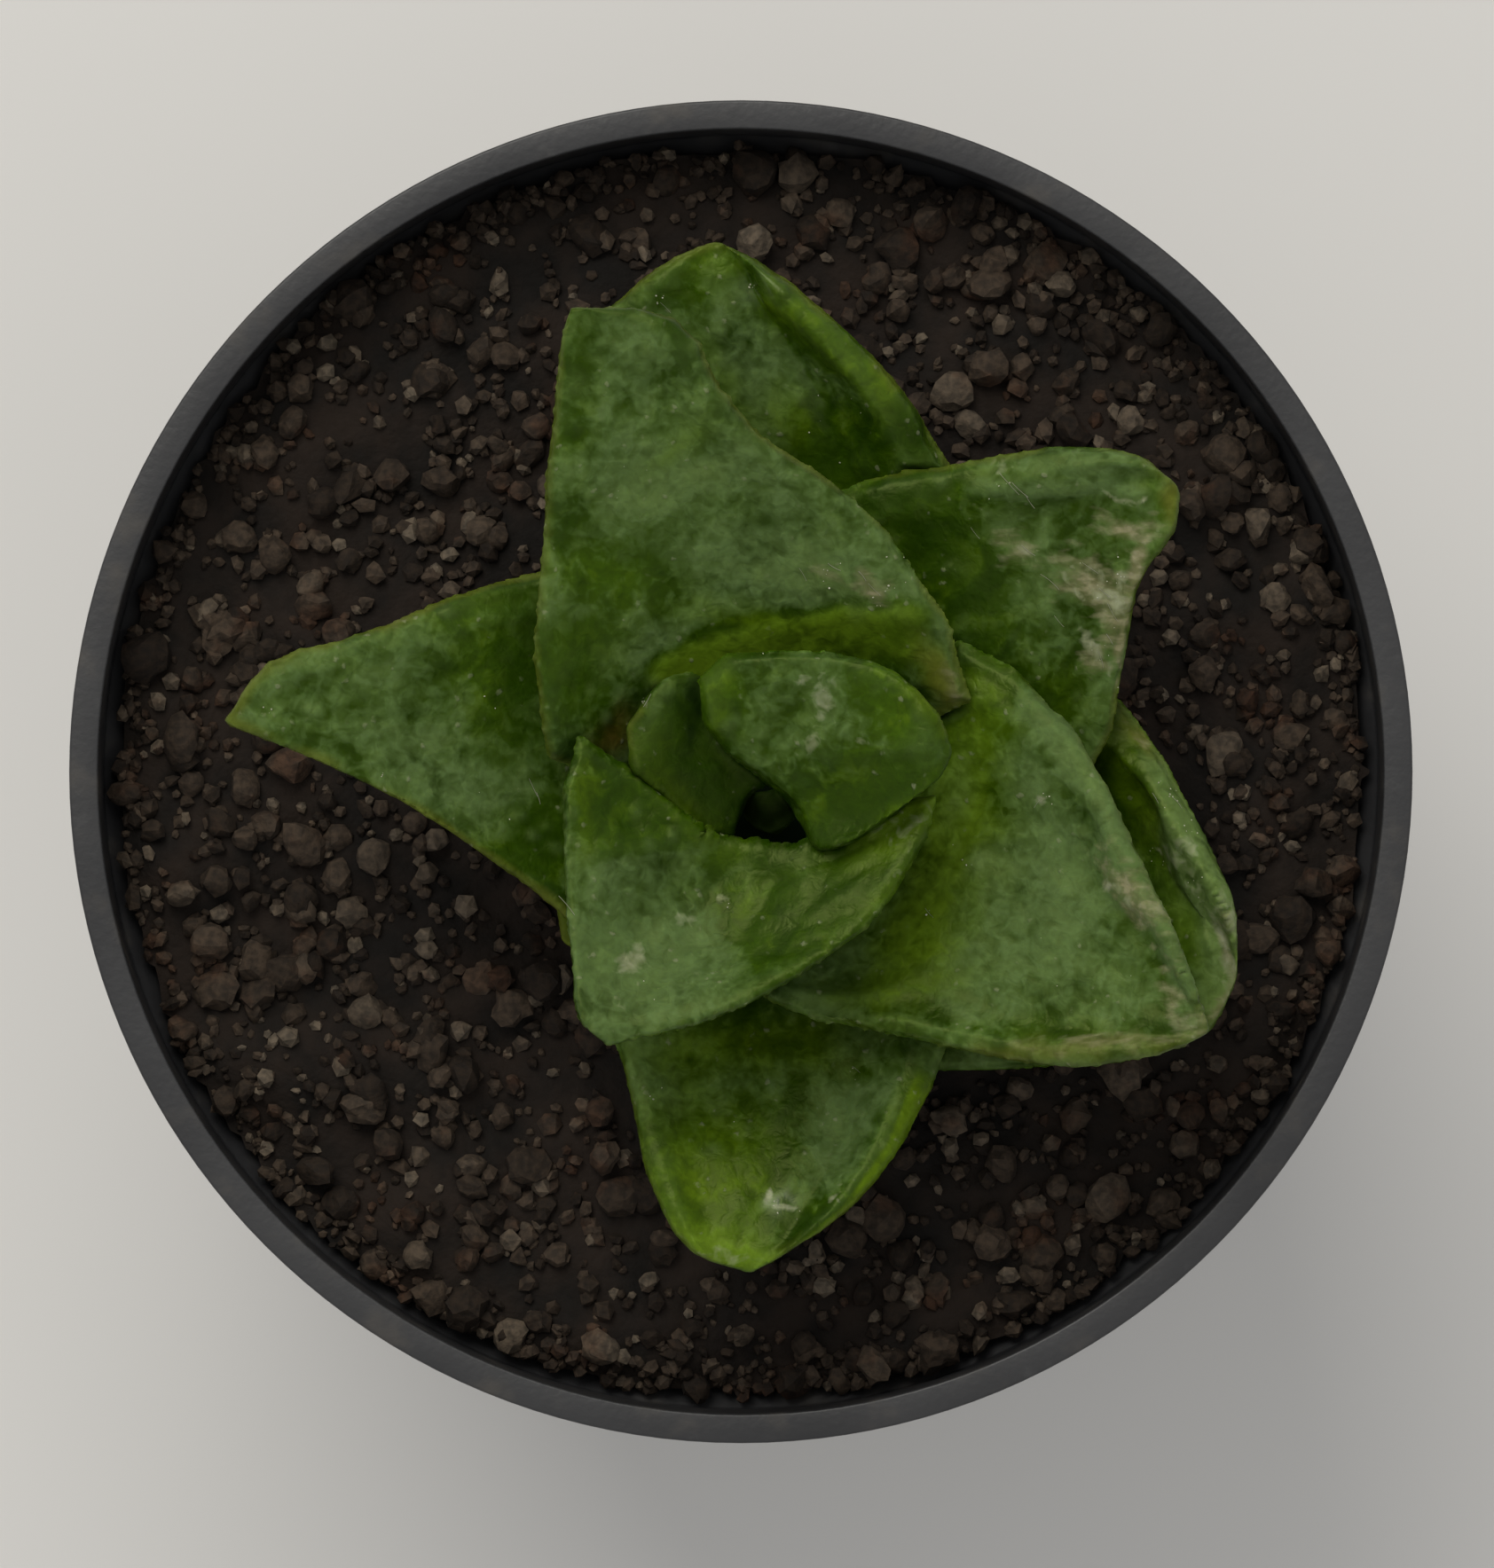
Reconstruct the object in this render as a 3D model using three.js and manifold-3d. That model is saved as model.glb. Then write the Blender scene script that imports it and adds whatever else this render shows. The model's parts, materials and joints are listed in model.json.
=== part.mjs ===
// A small succulent rosette of thick keeled leaves, standing in a plain round nursery pot.
// Millimetres, +Z up. The origin is the centre of the pot's underside.

import * as THREE from 'three';
import { mergeVertices } from 'three/addons/utils/BufferGeometryUtils.js';
import Module from 'manifold-3d';

const wasm = await Module();
wasm.setup();

// Fit between pieces that touch, the shortest edge that a cut leaves, and how near two corners of one
// shape lie when they are the same corner
const gap = 0.3;
const weld = 0.03;
const sameCorner = 1e-4;

// Pot
const potHeight = 48;
const rimRadius = 27.5;
const rimDepth = 6;
const wall = 1.2;
const wallTopRadius = 25.8;
const wallFootRadius = 19.6;
const footRingHeight = 2;
const footRingWidth = 1.6;
const floorThickness = 1.4;
const drainHoleRadius = 2.2;
const drainHoleCount = 4;
const drainHoleCircle = 11;
const drainHoleSides = 16;
const notchWidth = 5;
const potEdge = 0.4;
const potSides = 48;

// Soil
const soilHeight = 44;
const gritHeight = 0.55;

// Stem and roots
const centre = new THREE.Vector2(1.25, -1.6);
const stemRadius = 2.2;
const stemFoot = 30;
const stemTop = 48.4;
const crownRadius = 3.3;
const crownFoot = 42;
const rootRadius = 1.1;
const rootCount = 6;
const rootReach = 12;
const rootDrop = 17;

// Leaves
const leafCount = 12;
const footReach = 2.75;
const footHalfWidth = 2.1;
const footHollow = 0.55;
const oldestFoot = 44.9;
const footStep = 0.5;
const clearanceRise = 30;

// Each leaf is drawn in its own frame: `turn` is the compass direction of its midrib in degrees, and a
// row holds one station of the blade, from the wings to the shoulder of the tip. A station's `mid` is
// [reach along the midrib, height], and its `left` and `right` margins are [reach, distance from the
// midrib, lift above it]. `tip` is [reach, height], and `neck` is the rim of the well in the middle.
// `half` is half the thickness of the margins, `keel` the depth of the back below them at the base, the
// middle and the tip, and `roll` how far the left and right margins curl up.
const leaves = [
  { age: 1, turn: 285, half: 0.5, keel: [0.6, 0.6, 0.2], roll: [0, 0],
    neck: { mid: [-0.9, 50.0], left: [-0.8, 0.8, 0.1], right: [-0.8, 0.8, 0.1] },
    stations: [
      { mid: [0.2, 50.6], left: [0.1, 1.1, 0.2], right: [0.1, 1.1, 0.2] },
      { mid: [0.8, 50.9], left: [0.7, 0.7, 0.1], right: [0.7, 0.7, 0.1] }],
    tip: [1.1, 51.0] },
  { age: 2, turn: 150, half: 0.6, keel: [3.9, 2.6, 0.6], roll: [0, 0],
    neck: { mid: [1.3, 53.6], left: [0.9, 1.7, 0.2], right: [0.9, 0.9, 0.1] },
    stations: [
      { mid: [2.6, 54.2], left: [2.0, 2.6, 0.8], right: [3.6, 2.6, 0.4] },
      { mid: [4.2, 55.0], left: [4.2, 2.1, 0.6], right: [5.4, 3.4, 0.6] },
      { mid: [5.6, 55.8], left: [5.7, 1.3, 0.3], right: [6.5, 2.4, 0.4] }],
    tip: [6.8, 56.2] },
  { age: 3, turn: 18.5, half: 0.75, keel: [5.6, 3.6, 0.8], roll: [0, 0],
    neck: { mid: [1.1, 55.6], left: [-0.1, 1.8, 0.1], right: [1.1, 1.4, 0.1] },
    stations: [
      { mid: [1.9, 56.1], left: [-1.5, 3.7, 0.5], right: [1.2, 2.0, 0.4] },
      { mid: [3.0, 56.7], left: [-0.7, 6.5, 0.8], right: [2.0, 2.2, 0.5] },
      { mid: [4.4, 57.4], left: [2.8, 6.0, 1.0], right: [3.9, 1.8, 0.6] },
      { mid: [5.8, 58.2], left: [5.9, 4.4, 0.8], right: [5.6, 1.3, 0.5] },
      { mid: [6.9, 58.8], left: [7.3, 2.4, 0.4], right: [6.9, 0.8, 0.2] }],
    tip: [7.7, 59.1] },
  { age: 4, turn: 235.6, half: 0.8, keel: [4.9, 4.2, 1.4], roll: [0, 0],
    neck: { mid: [1.8, 54.6], left: [0.9, 1.9, 0.2], right: [2.6, 1.8, 0.2] },
    stations: [
      { mid: [3.8, 55.0], left: [-4.5, 5.2, 1.6], right: [1.8, 8.3, 1.8] },
      { mid: [6.6, 56.2], left: [0.5, 6.0, 1.4], right: [6.8, 5.5, 1.2] },
      { mid: [8.8, 57.3], left: [3.8, 5.1, 1.0], right: [9.4, 3.3, 0.6] },
      { mid: [10.4, 58.2], left: [8.3, 2.7, 0.4], right: [11.3, 1.7, 0.3] }],
    tip: [11.5, 58.6] },
  { age: 5, turn: 111.6, half: 0.75, keel: [1.6, 2.8, 1.0], roll: [0, 0.2],
    stations: [
      { mid: [6.3, 52.4], left: [5.4, 7.7, 2.0], right: [1.2, 9.3, 2.0] },
      { mid: [11.5, 54.8], left: [13.9, 4.4, 0.8], right: [9.4, 8.4, 1.2] },
      { mid: [16.2, 56.8], left: [18.4, 2.2, 0.4], right: [15.4, 4.6, 0.8] },
      { mid: [19.8, 58.2], left: [21.1, 0.7, 0.2], right: [19.7, 3.8, 0.3] }],
    tip: [21.9, 58.8] },
  { age: 6, turn: 333.3, half: 0.75, keel: [1.6, 2.8, 1.0], roll: [0.4, 0.3],
    stations: [
      { mid: [5.6, 50.8], left: [3.7, 9.8, 2.2], right: [3.2, 7.0, 1.4] },
      { mid: [10.4, 53.0], left: [9.7, 8.3, 1.2], right: [8.6, 5.9, 0.4] },
      { mid: [14.8, 54.8], left: [14.4, 4.8, 0.8], right: [14.2, 4.3, 0.2] },
      { mid: [18.3, 56.2], left: [18.2, 1.5, 0.3], right: [18.2, 1.9, 0.1] }],
    tip: [19.8, 56.7] },
  { age: 7, turn: 170.8, half: 0.7, keel: [1.4, 2.6, 0.9], roll: [0, 0.2],
    stations: [
      { mid: [5.6, 49.8], left: [5.2, 6.4, 2.0], right: [7.6, 8.8, 2.0] },
      { mid: [10.6, 51.8], left: [10.1, 4.2, 0.9], right: [12.5, 7.5, 1.2] },
      { mid: [16.0, 53.6], left: [15.3, 1.9, 0.5], right: [17.3, 4.5, 0.8] },
      { mid: [20.2, 54.4], left: [19.9, 0.5, 0.1], right: [21.0, 2.7, 0.4] }],
    tip: [22.5, 54.6] },
  { age: 8, turn: 38.4, half: 0.75, keel: [1.4, 2.6, 1.0], roll: [0.4, 0],
    stations: [
      { mid: [8.0, 49.8], left: [8.5, 9.0, 2.0], right: [11.2, 6.9, 1.6] },
      { mid: [12.8, 51.6], left: [14.7, 6.4, 1.0], right: [14.7, 4.5, 0.8] },
      { mid: [17.4, 53.2], left: [18.5, 4.3, 0.6], right: [17.6, 1.9, 0.4] },
      { mid: [19.8, 54.0], left: [20.6, 2.2, 0.2], right: [19.9, 1.3, 0.1] }],
    tip: [21.1, 54.2] },
  { age: 9, turn: 267.3, half: 0.75, keel: [1.4, 2.6, 1.0], roll: [0.5, 0.2],
    stations: [
      { mid: [5.6, 47.9], left: [6.0, 8.0, 2.0], right: [5.4, 7.2, 2.0] },
      { mid: [10.8, 50.0], left: [11.3, 6.9, 1.2], right: [11.0, 5.5, 1.0] },
      { mid: [15.2, 51.8], left: [15.6, 4.4, 0.8], right: [15.6, 4.1, 0.6] },
      { mid: [17.8, 52.8], left: [17.5, 2.0, 0.3], right: [18.0, 2.6, 0.3] }],
    tip: [18.8, 53.1] },
  { age: 10, turn: 95.5, half: 0.75, keel: [1.2, 2.4, 1.0], roll: [0.2, 0.8],
    stations: [
      { mid: [6.6, 47.7], left: [9.4, 7.6, 1.8], right: [8.0, 9.6, 2.0] },
      { mid: [12.8, 49.6], left: [15.5, 7.2, 1.2], right: [13.8, 8.5, 1.6] },
      { mid: [18.2, 51.2], left: [20.4, 5.1, 0.8], right: [18.3, 5.5, 1.2] },
      { mid: [21.6, 52.2], left: [22.7, 2.0, 0.3], right: [22.2, 1.8, 0.4] }],
    tip: [23.3, 52.5] },
  { age: 11, turn: 340.3, half: 0.75, keel: [1.2, 2.2, 0.9], roll: [0.9, 0.1],
    stations: [
      { mid: [6.0, 46.9], left: [7.4, 10.6, 2.0], right: [7.4, 8.0, 1.4] },
      { mid: [11.6, 48.4], left: [12.9, 8.6, 1.4], right: [12.4, 6.9, 0.6] },
      { mid: [16.2, 49.8], left: [16.9, 5.1, 1.2], right: [16.9, 4.7, 0.4] },
      { mid: [19.0, 50.8], left: [19.1, 2.5, 0.5], right: [19.8, 2.6, 0.2] }],
    tip: [20.2, 51.1] },
  { age: 12, turn: 212, half: 0.7, keel: [1.0, 1.6, 0.6], roll: [0, 0],
    stations: [
      { mid: [5.0, 46.4], left: [5.0, 4.6, 0.8], right: [5.4, 5.6, 0.8] },
      { mid: [7.8, 47.2], left: [8.0, 3.6, 0.5], right: [8.4, 3.6, 0.5] }],
    tip: [10.1, 48.0] },
];

// The inner leaves interlock, so the order in which they lie on each other isn't their age
const topToBottom = [3, 4, 2, 1, 5, 6, 7, 8, 9, 10, 11, 12];

// Solids

function toManifold(geometry) {
  const bare = geometry.clone();
  bare.deleteAttribute('normal');
  bare.deleteAttribute('uv');
  const merged = mergeVertices(bare, sameCorner);
  const solidFrom = (triVerts) => new wasm.Manifold(new wasm.Mesh({
    numProp: 3,
    vertProperties: new Float32Array(merged.attributes.position.array),
    triVerts,
  }));
  const corners = new Uint32Array(merged.index.array);
  const solid = solidFrom(corners);
  return solid.volume() > 0 ? solid : solidFrom(corners.reverse());
}

// Cut edges leave very short sides: corners nearer than `weld` become one, and faces that fold flat go
function toGeometry(solid) {
  const mesh = solid.getMesh();
  const corner = (i) => new THREE.Vector3().fromArray(mesh.vertProperties, i * mesh.numProp);
  const owner = Array.from({ length: mesh.numVert }, (_, i) => i);
  const find = (i) => (owner[i] === i ? i : find(owner[i]));
  const faces = [];
  for (let i = 0; i < mesh.triVerts.length; i += 3) {
    faces.push([...mesh.triVerts.subarray(i, i + 3)]);
  }
  for (const face of faces) {
    for (let k = 0; k < 3; k += 1) {
      const a = find(face[k]);
      const b = find(face[(k + 1) % 3]);
      if (a !== b && corner(a).distanceTo(corner(b)) < weld) {
        owner[Math.max(a, b)] = Math.min(a, b);
      }
    }
  }
  const kept = new Map();
  for (const face of faces.map((entry) => entry.map(find))) {
    const key = [...face].sort((a, b) => a - b).join(' ');
    if (new Set(face).size === 3 && !kept.delete(key)) {
      kept.set(key, face);
    }
  }
  const positions = [...owner.keys()].flatMap((i) => corner(i).toArray());
  const geometry = new THREE.BufferGeometry();
  geometry.setAttribute('position', new THREE.Float32BufferAttribute(positions, 3));
  geometry.setIndex([...kept.values()].flat());
  geometry.computeVertexNormals();
  return geometry;
}

// A boolean can leave loose crumbs: the largest body is the piece
function largestBody(solid) {
  const bodies = solid.decompose();
  return bodies.reduce((best, body) => (body.volume() > best.volume() ? body : best));
}

// Rings of points, capped at both ends, make one closed body
function loft(rings) {
  const count = rings[0].length;
  const positions = [];
  for (const ring of rings) {
    for (const point of ring) {
      positions.push(point.x, point.y, point.z);
    }
  }
  const index = [];
  for (let i = 0; i < rings.length - 1; i += 1) {
    for (let j = 0; j < count; j += 1) {
      const a = i * count + j;
      const b = i * count + ((j + 1) % count);
      index.push(a, b, b + count, a, b + count, a + count);
    }
  }
  for (const [ring, flip] of [[0, true], [rings.length - 1, false]]) {
    const middle = positions.length / 3;
    const sum = rings[ring].reduce((total, point) => total.add(point), new THREE.Vector3());
    sum.divideScalar(count);
    positions.push(sum.x, sum.y, sum.z);
    for (let j = 0; j < count; j += 1) {
      const a = ring * count + j;
      const b = ring * count + ((j + 1) % count);
      index.push(...(flip ? [middle, b, a] : [middle, a, b]));
    }
  }
  const geometry = new THREE.BufferGeometry();
  geometry.setAttribute('position', new THREE.Float32BufferAttribute(positions, 3));
  geometry.setIndex(index);
  return geometry;
}

// Leaf

const upperTrack = [-1, -0.95, -0.82, -0.58, -0.3, 0, 0.3, 0.58, 0.82, 0.95, 1];
const lowerTrack = [1, 0.9, 0.62, 0.3, 0, -0.3, -0.62, -0.9, -1];
const stationsAlong = 13;
const lastStation = 0.99;
const stationEase = 1.2;
const steepest = 1.6;
const steepestRoom = 4;
const tipThickness = 0.35;
const tipTaper = 3;
const backFullness = [0.75, 1.3];

// The upper face runs flat to a crisp margin, and the back is rounded: the higher the power, the crisper
const brimPower = 12;
const roundPower = 4;
const rollPlace = 0.82;
const valleyPlace = 0.55;
const rollWidth = 0.16;
const valleyDepth = 0.6;

function footHeight(age) {
  return oldestFoot + (leafCount - age) * footStep;
}

function placeInLeaf(leaf, along, across, height) {
  const turn = THREE.MathUtils.degToRad(leaf.turn);
  return new THREE.Vector3(
    centre.x + along * Math.cos(turn) - across * Math.sin(turn),
    centre.y + along * Math.sin(turn) + across * Math.cos(turn),
    height,
  );
}

// The three guide lines of a leaf: left margin, midrib and right margin
function guideLines(leaf, grow) {
  const foot = footHeight(leaf.age);
  const clasp = { mid: [footReach, foot], left: [footReach - footHollow, footHalfWidth, 0] };
  const rows = leaf.neck ? [leaf.neck] : [{ ...clasp, right: clasp.left }];
  rows.push(...leaf.stations);
  const lines = { left: [], mid: [], right: [] };
  for (const { left, mid, right } of rows) {
    const back = lines.mid.length === 0 ? grow : 0;
    lines.left.push(placeInLeaf(leaf, left[0] - back, left[1] + grow, mid[1] + left[2]));
    lines.mid.push(placeInLeaf(leaf, mid[0] - back, 0, mid[1]));
    lines.right.push(placeInLeaf(leaf, right[0] - back, -right[1] - grow, mid[1] + right[2]));
  }
  return Object.values(lines).map((line) => {
    line.push(placeInLeaf(leaf, leaf.tip[0] + grow, 0, leaf.tip[1]));
    return new THREE.CatmullRomCurve3(line, false, 'centripetal');
  });
}

// One leaf, thickened straight up and down, or with `grow` and `rise` the room that it takes up in the
// leaves beneath it
function leafSolid(leaf, grow = 0, rise = 0) {
  const [left, middle, right] = guideLines(leaf, grow);
  const [keelBase, keelMiddle, keelTip] = leaf.keel;
  const rings = [];
  for (let i = 0; i < stationsAlong; i += 1) {
    const share = i / (stationsAlong - 1);
    const along = Math.min(1 - (1 - share) ** stationEase, lastStation);
    const leftPoint = left.getPoint(along);
    const middlePoint = middle.getPoint(along);
    const rightPoint = right.getPoint(along);
    const across = leftPoint.clone().sub(rightPoint).normalize();
    const normal = middle.getTangent(along).cross(across).normalize();
    const taper = Math.min(1, tipThickness + tipTaper * (1 - along));
    const half = leaf.half * taper * Math.min(1 / Math.abs(normal.z), steepest);
    const keel = along < 0.5
      ? THREE.MathUtils.lerp(keelBase, keelMiddle, along * 2)
      : THREE.MathUtils.lerp(keelMiddle, keelTip, along * 2 - 1);
    const backSlope = (2 * keel) / leftPoint.distanceTo(rightPoint);
    const under = grow * Math.min(Math.hypot(1 / normal.z, backSlope), steepestRoom);
    const fullness = THREE.MathUtils.lerp(...backFullness, along);
    const point = (t, lift) => middlePoint.clone().multiplyScalar(1 - t * t)
      .addScaledVector(leftPoint, (t * t + t) / 2)
      .addScaledVector(rightPoint, (t * t - t) / 2)
      .add(new THREE.Vector3(0, 0, lift));
    const brim = (t) => Math.sqrt(1 - t ** brimPower);
    const round = (t) => Math.sqrt(1 - t ** roundPower);
    const curl = (t) => {
      const side = Math.abs(t);
      const ridge = Math.exp(-(((side - rollPlace) / rollWidth) ** 2));
      const valley = Math.exp(-(((side - valleyPlace) / rollWidth) ** 2));
      const swell = Math.sqrt(Math.sin(Math.PI * along));
      return leaf.roll[t > 0 ? 0 : 1] * (ridge - valleyDepth * valley) * swell;
    };
    const upper = upperTrack.map((t) => point(-t, half * brim(t) + curl(-t)));
    const back = (t) => half * round(t) + keel * (1 - Math.abs(t)) ** fullness;
    const lower = lowerTrack.map((t) => point(-t, -back(t) - under));
    if (rise > 0) {
      upper.forEach((vertex) => vertex.setZ(vertex.z + rise));
    } else {
      upper.pop();
      lower.pop();
    }
    rings.push([...upper, ...lower]);
  }
  return toManifold(loft(rings));
}

// Stem with its fleshy roots and the wide crown that carries the leaves, or with `grow` their room

const stemSides = 16;
const stemShoulder = 0.8;
const stemEnd = 2;
const stemEndShoulder = 1.2;
const crownFlare = 2;
const crownShoulder = 1.2;
const crownDome = 0.3;
const rootSides = 6;
const rootSteps = 7;
const firstRootTurn = 0.4;
const rootTaper = 0.65;

// How far out and how far down a root is at its two bends, as shares of its reach and drop
const rootBends = [[0.35, 0.1], [0.75, 0.5]];

function rootSolid(index, grow) {
  const turn = (index * 2 * Math.PI) / rootCount + firstRootTurn;
  const out = new THREE.Vector3(Math.cos(turn), Math.sin(turn), 0);
  const start = new THREE.Vector3(centre.x, centre.y, stemFoot + stemEnd);
  const bends = rootBends.map(([reach, drop]) => (
    start.clone().addScaledVector(out, rootReach * reach).setZ(stemFoot - rootDrop * drop)));
  const end = start.clone().addScaledVector(out, rootReach).setZ(stemFoot - rootDrop - grow);
  const line = new THREE.CatmullRomCurve3([start, ...bends, end]);
  const rings = [];
  for (let i = 0; i < rootSteps; i += 1) {
    const share = i / (rootSteps - 1);
    const middle = line.getPoint(share);
    const ahead = line.getTangent(share);
    const side = new THREE.Vector3(-out.y, out.x, 0);
    const up = side.clone().cross(ahead).normalize();
    const radius = rootRadius * (1 - rootTaper * share) + grow;
    const ring = [];
    for (let k = 0; k < rootSides; k += 1) {
      const angle = (k * 2 * Math.PI) / rootSides;
      ring.push(middle.clone()
        .addScaledVector(side, radius * Math.cos(angle))
        .addScaledVector(up, radius * Math.sin(angle)));
    }
    rings.push(ring);
  }
  return toManifold(loft(rings));
}

function stemSolid(grow = 0) {
  const radius = stemRadius + grow;
  const crown = crownRadius + grow;
  const profile = [
    new THREE.Vector2(0, stemFoot - stemEnd - grow),
    new THREE.Vector2(radius * stemShoulder, stemFoot - stemEndShoulder - grow),
    new THREE.Vector2(radius, stemFoot + stemEnd),
    new THREE.Vector2(radius, crownFoot - grow),
    new THREE.Vector2(crown, crownFoot + crownFlare - grow),
    new THREE.Vector2(crown, stemTop - crownShoulder),
    new THREE.Vector2(crown * stemShoulder, stemTop - crownDome + grow),
    new THREE.Vector2(0, stemTop + grow),
  ];
  const column = new THREE.LatheGeometry(profile, stemSides);
  column.rotateX(Math.PI / 2);
  column.translate(centre.x, centre.y, 0);
  let solid = toManifold(column);
  for (let index = 0; index < rootCount; index += 1) {
    solid = solid.add(rootSolid(index, grow));
  }
  return solid;
}

// Pot

const rimFoot = potHeight - rimDepth;
const floorTop = footRingHeight + floorThickness;

function innerRadius(height) {
  const share = (height - floorTop) / (rimFoot - floorTop);
  return height > rimFoot
    ? rimRadius - wall
    : THREE.MathUtils.lerp(wallFootRadius, wallTopRadius, share) - wall;
}

function potSolid() {
  const profile = [
    [0, footRingHeight],
    [wallFootRadius - footRingWidth, footRingHeight],
    [wallFootRadius - footRingWidth, 0],
    [wallFootRadius - potEdge, 0],
    [wallFootRadius, potEdge],
    [wallTopRadius, rimFoot],
    [rimRadius - potEdge, rimFoot],
    [rimRadius, rimFoot + potEdge],
    [rimRadius, potHeight - potEdge],
    [rimRadius - potEdge, potHeight],
    [rimRadius - wall, potHeight],
    [rimRadius - wall, rimFoot + wall],
    [innerRadius(rimFoot), rimFoot],
    [innerRadius(floorTop), floorTop],
    [0, floorTop],
  ].map(([x, y]) => new THREE.Vector2(x, y));
  const shell = new THREE.LatheGeometry(profile, potSides);
  shell.rotateX(Math.PI / 2);
  let solid = toManifold(shell);
  for (let index = 0; index < drainHoleCount; index += 1) {
    const turn = (index * 2 * Math.PI) / drainHoleCount;
    const depth = 4 * floorThickness;
    const hole = new THREE.CylinderGeometry(drainHoleRadius, drainHoleRadius, depth, drainHoleSides);
    hole.rotateX(Math.PI / 2);
    hole.translate(drainHoleCircle * Math.cos(turn), drainHoleCircle * Math.sin(turn), floorTop);
    const height = 2 * (footRingHeight - potEdge);
    const notch = new THREE.BoxGeometry(4 * footRingWidth, notchWidth, height);
    notch.translate(wallFootRadius, 0, 0);
    notch.rotateZ(turn + Math.PI / drainHoleCount);
    solid = solid.subtract(toManifold(hole)).subtract(toManifold(notch));
  }
  return solid;
}

// Soil: level in the pot, with a gritty top that gets calmer towards the plant

const gritShift = 0.5;
const gritRings = [0.94, 0.82, 0.7, 0.58, 0.46, 0.34, 0.22, 0.12];

function seededRandom(seed) {
  let state = seed;
  return () => {
    state = (state * 1664525 + 1013904223) % 4294967296;
    return state / 4294967296;
  };
}

function soilSolid(roomOfLeaves) {
  const random = seededRandom(7);
  const ring = (radius, height, grit) => Array.from({ length: potSides }, (_, k) => {
    const angle = ((k + grit * random() * gritShift) * 2 * Math.PI) / potSides;
    const lump = grit * (random() - 0.5) * 2 * gritHeight;
    return new THREE.Vector3(radius * Math.cos(angle), radius * Math.sin(angle), height + lump);
  });
  const topRadius = rimRadius - wall - gap;
  const rings = [
    ring(innerRadius(floorTop) - gap, floorTop + gap, 0),
    ring(innerRadius(rimFoot) - gap, rimFoot, 0),
    ring(topRadius, rimFoot + wall + gap, 0),
    ring(topRadius, soilHeight - gritHeight, 0),
    ...gritRings.map((share) => ring(topRadius * share, soilHeight, share)),
  ];
  const cleared = toManifold(loft(rings)).subtract(stemSolid(gap));
  return largestBody(cleared.subtract(roomOfLeaves));
}

// Assembly

// The older a leaf is, the darker it is
const leafGreen = new THREE.Color(0.06, 0.1, 0.012);
const darkerEachAge = 0.03;
const finishes = {
  pot: { color: new THREE.Color(0.018, 0.018, 0.019), roughness: 0.45 },
  soil: { color: new THREE.Color(0.03, 0.022, 0.015), roughness: 0.95 },
  stem: { color: new THREE.Color(0.2, 0.16, 0.08), roughness: 0.7 },
};

const plant = new THREE.Group();

function addPiece(name, solid, finish) {
  const material = new THREE.MeshStandardMaterial({ metalness: 0, ...finish });
  const mesh = new THREE.Mesh(toGeometry(solid), material);
  mesh.name = name;
  plant.add(mesh);
}

addPiece('pot', potSolid(), finishes.pot);
addPiece('stem', stemSolid(), finishes.stem);

let taken = stemSolid(gap);
for (const age of topToBottom) {
  const leaf = leaves.find((entry) => entry.age === age);
  const solid = largestBody(leafSolid(leaf).subtract(taken));
  const shade = 1 - darkerEachAge * age;
  const color = leafGreen.clone().multiplyScalar(shade);
  addPiece(`leaf_${String(age).padStart(2, '0')}`, solid, { color, roughness: 0.42 });
  taken = taken.add(leafSolid(leaf, gap, clearanceRise));
}
addPiece('soil', soilSolid(taken), finishes.soil);

export default plant;
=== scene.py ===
# A small potted succulent seen from straight above: twelve thick leaves, their stem, soil and pot.
import json
import math
import random
from itertools import product

import bpy
import numpy as np
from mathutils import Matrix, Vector
from mathutils.bvhtree import BVHTree
from mathutils.kdtree import KDTree

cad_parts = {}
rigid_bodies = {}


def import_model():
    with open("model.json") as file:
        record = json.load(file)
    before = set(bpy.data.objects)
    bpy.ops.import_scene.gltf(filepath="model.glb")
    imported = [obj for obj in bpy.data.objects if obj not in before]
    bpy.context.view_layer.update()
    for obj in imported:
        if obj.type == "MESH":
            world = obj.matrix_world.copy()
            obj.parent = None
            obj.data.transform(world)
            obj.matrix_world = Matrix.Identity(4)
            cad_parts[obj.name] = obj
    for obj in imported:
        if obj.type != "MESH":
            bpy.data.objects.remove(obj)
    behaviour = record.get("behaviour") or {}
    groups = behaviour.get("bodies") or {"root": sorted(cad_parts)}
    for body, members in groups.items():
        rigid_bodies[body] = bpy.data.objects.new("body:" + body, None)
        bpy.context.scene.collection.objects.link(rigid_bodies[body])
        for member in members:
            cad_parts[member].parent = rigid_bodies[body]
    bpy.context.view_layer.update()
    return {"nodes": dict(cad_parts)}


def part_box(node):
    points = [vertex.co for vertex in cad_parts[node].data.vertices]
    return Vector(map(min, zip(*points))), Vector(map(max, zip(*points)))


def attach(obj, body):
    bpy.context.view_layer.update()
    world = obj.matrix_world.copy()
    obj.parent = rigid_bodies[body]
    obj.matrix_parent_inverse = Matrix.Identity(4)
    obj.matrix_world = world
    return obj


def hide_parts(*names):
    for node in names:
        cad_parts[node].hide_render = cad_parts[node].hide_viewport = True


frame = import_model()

mm = 0.001

# The photograph's frame, and where the plant's own zero lies in it
photo = {
    "width": 1684,
    "height": 1768,
    "zeroX": 835,
    "zeroY": 870,
    "pixelsPerMm": 27.86,
}


def atPixel(x, y):
    return Vector((x - photo["zeroX"], photo["zeroY"] - y)) / photo["pixelsPerMm"] * mm


growthAxis = atPixel(870, 915)  # the well in the middle of the rosette


# Small helpers for objects and meshes

def deselectAll():
    if bpy.context.object and bpy.context.object.mode != "OBJECT":
        bpy.ops.object.mode_set(mode="OBJECT")
    bpy.ops.object.select_all(action="DESELECT")


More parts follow.
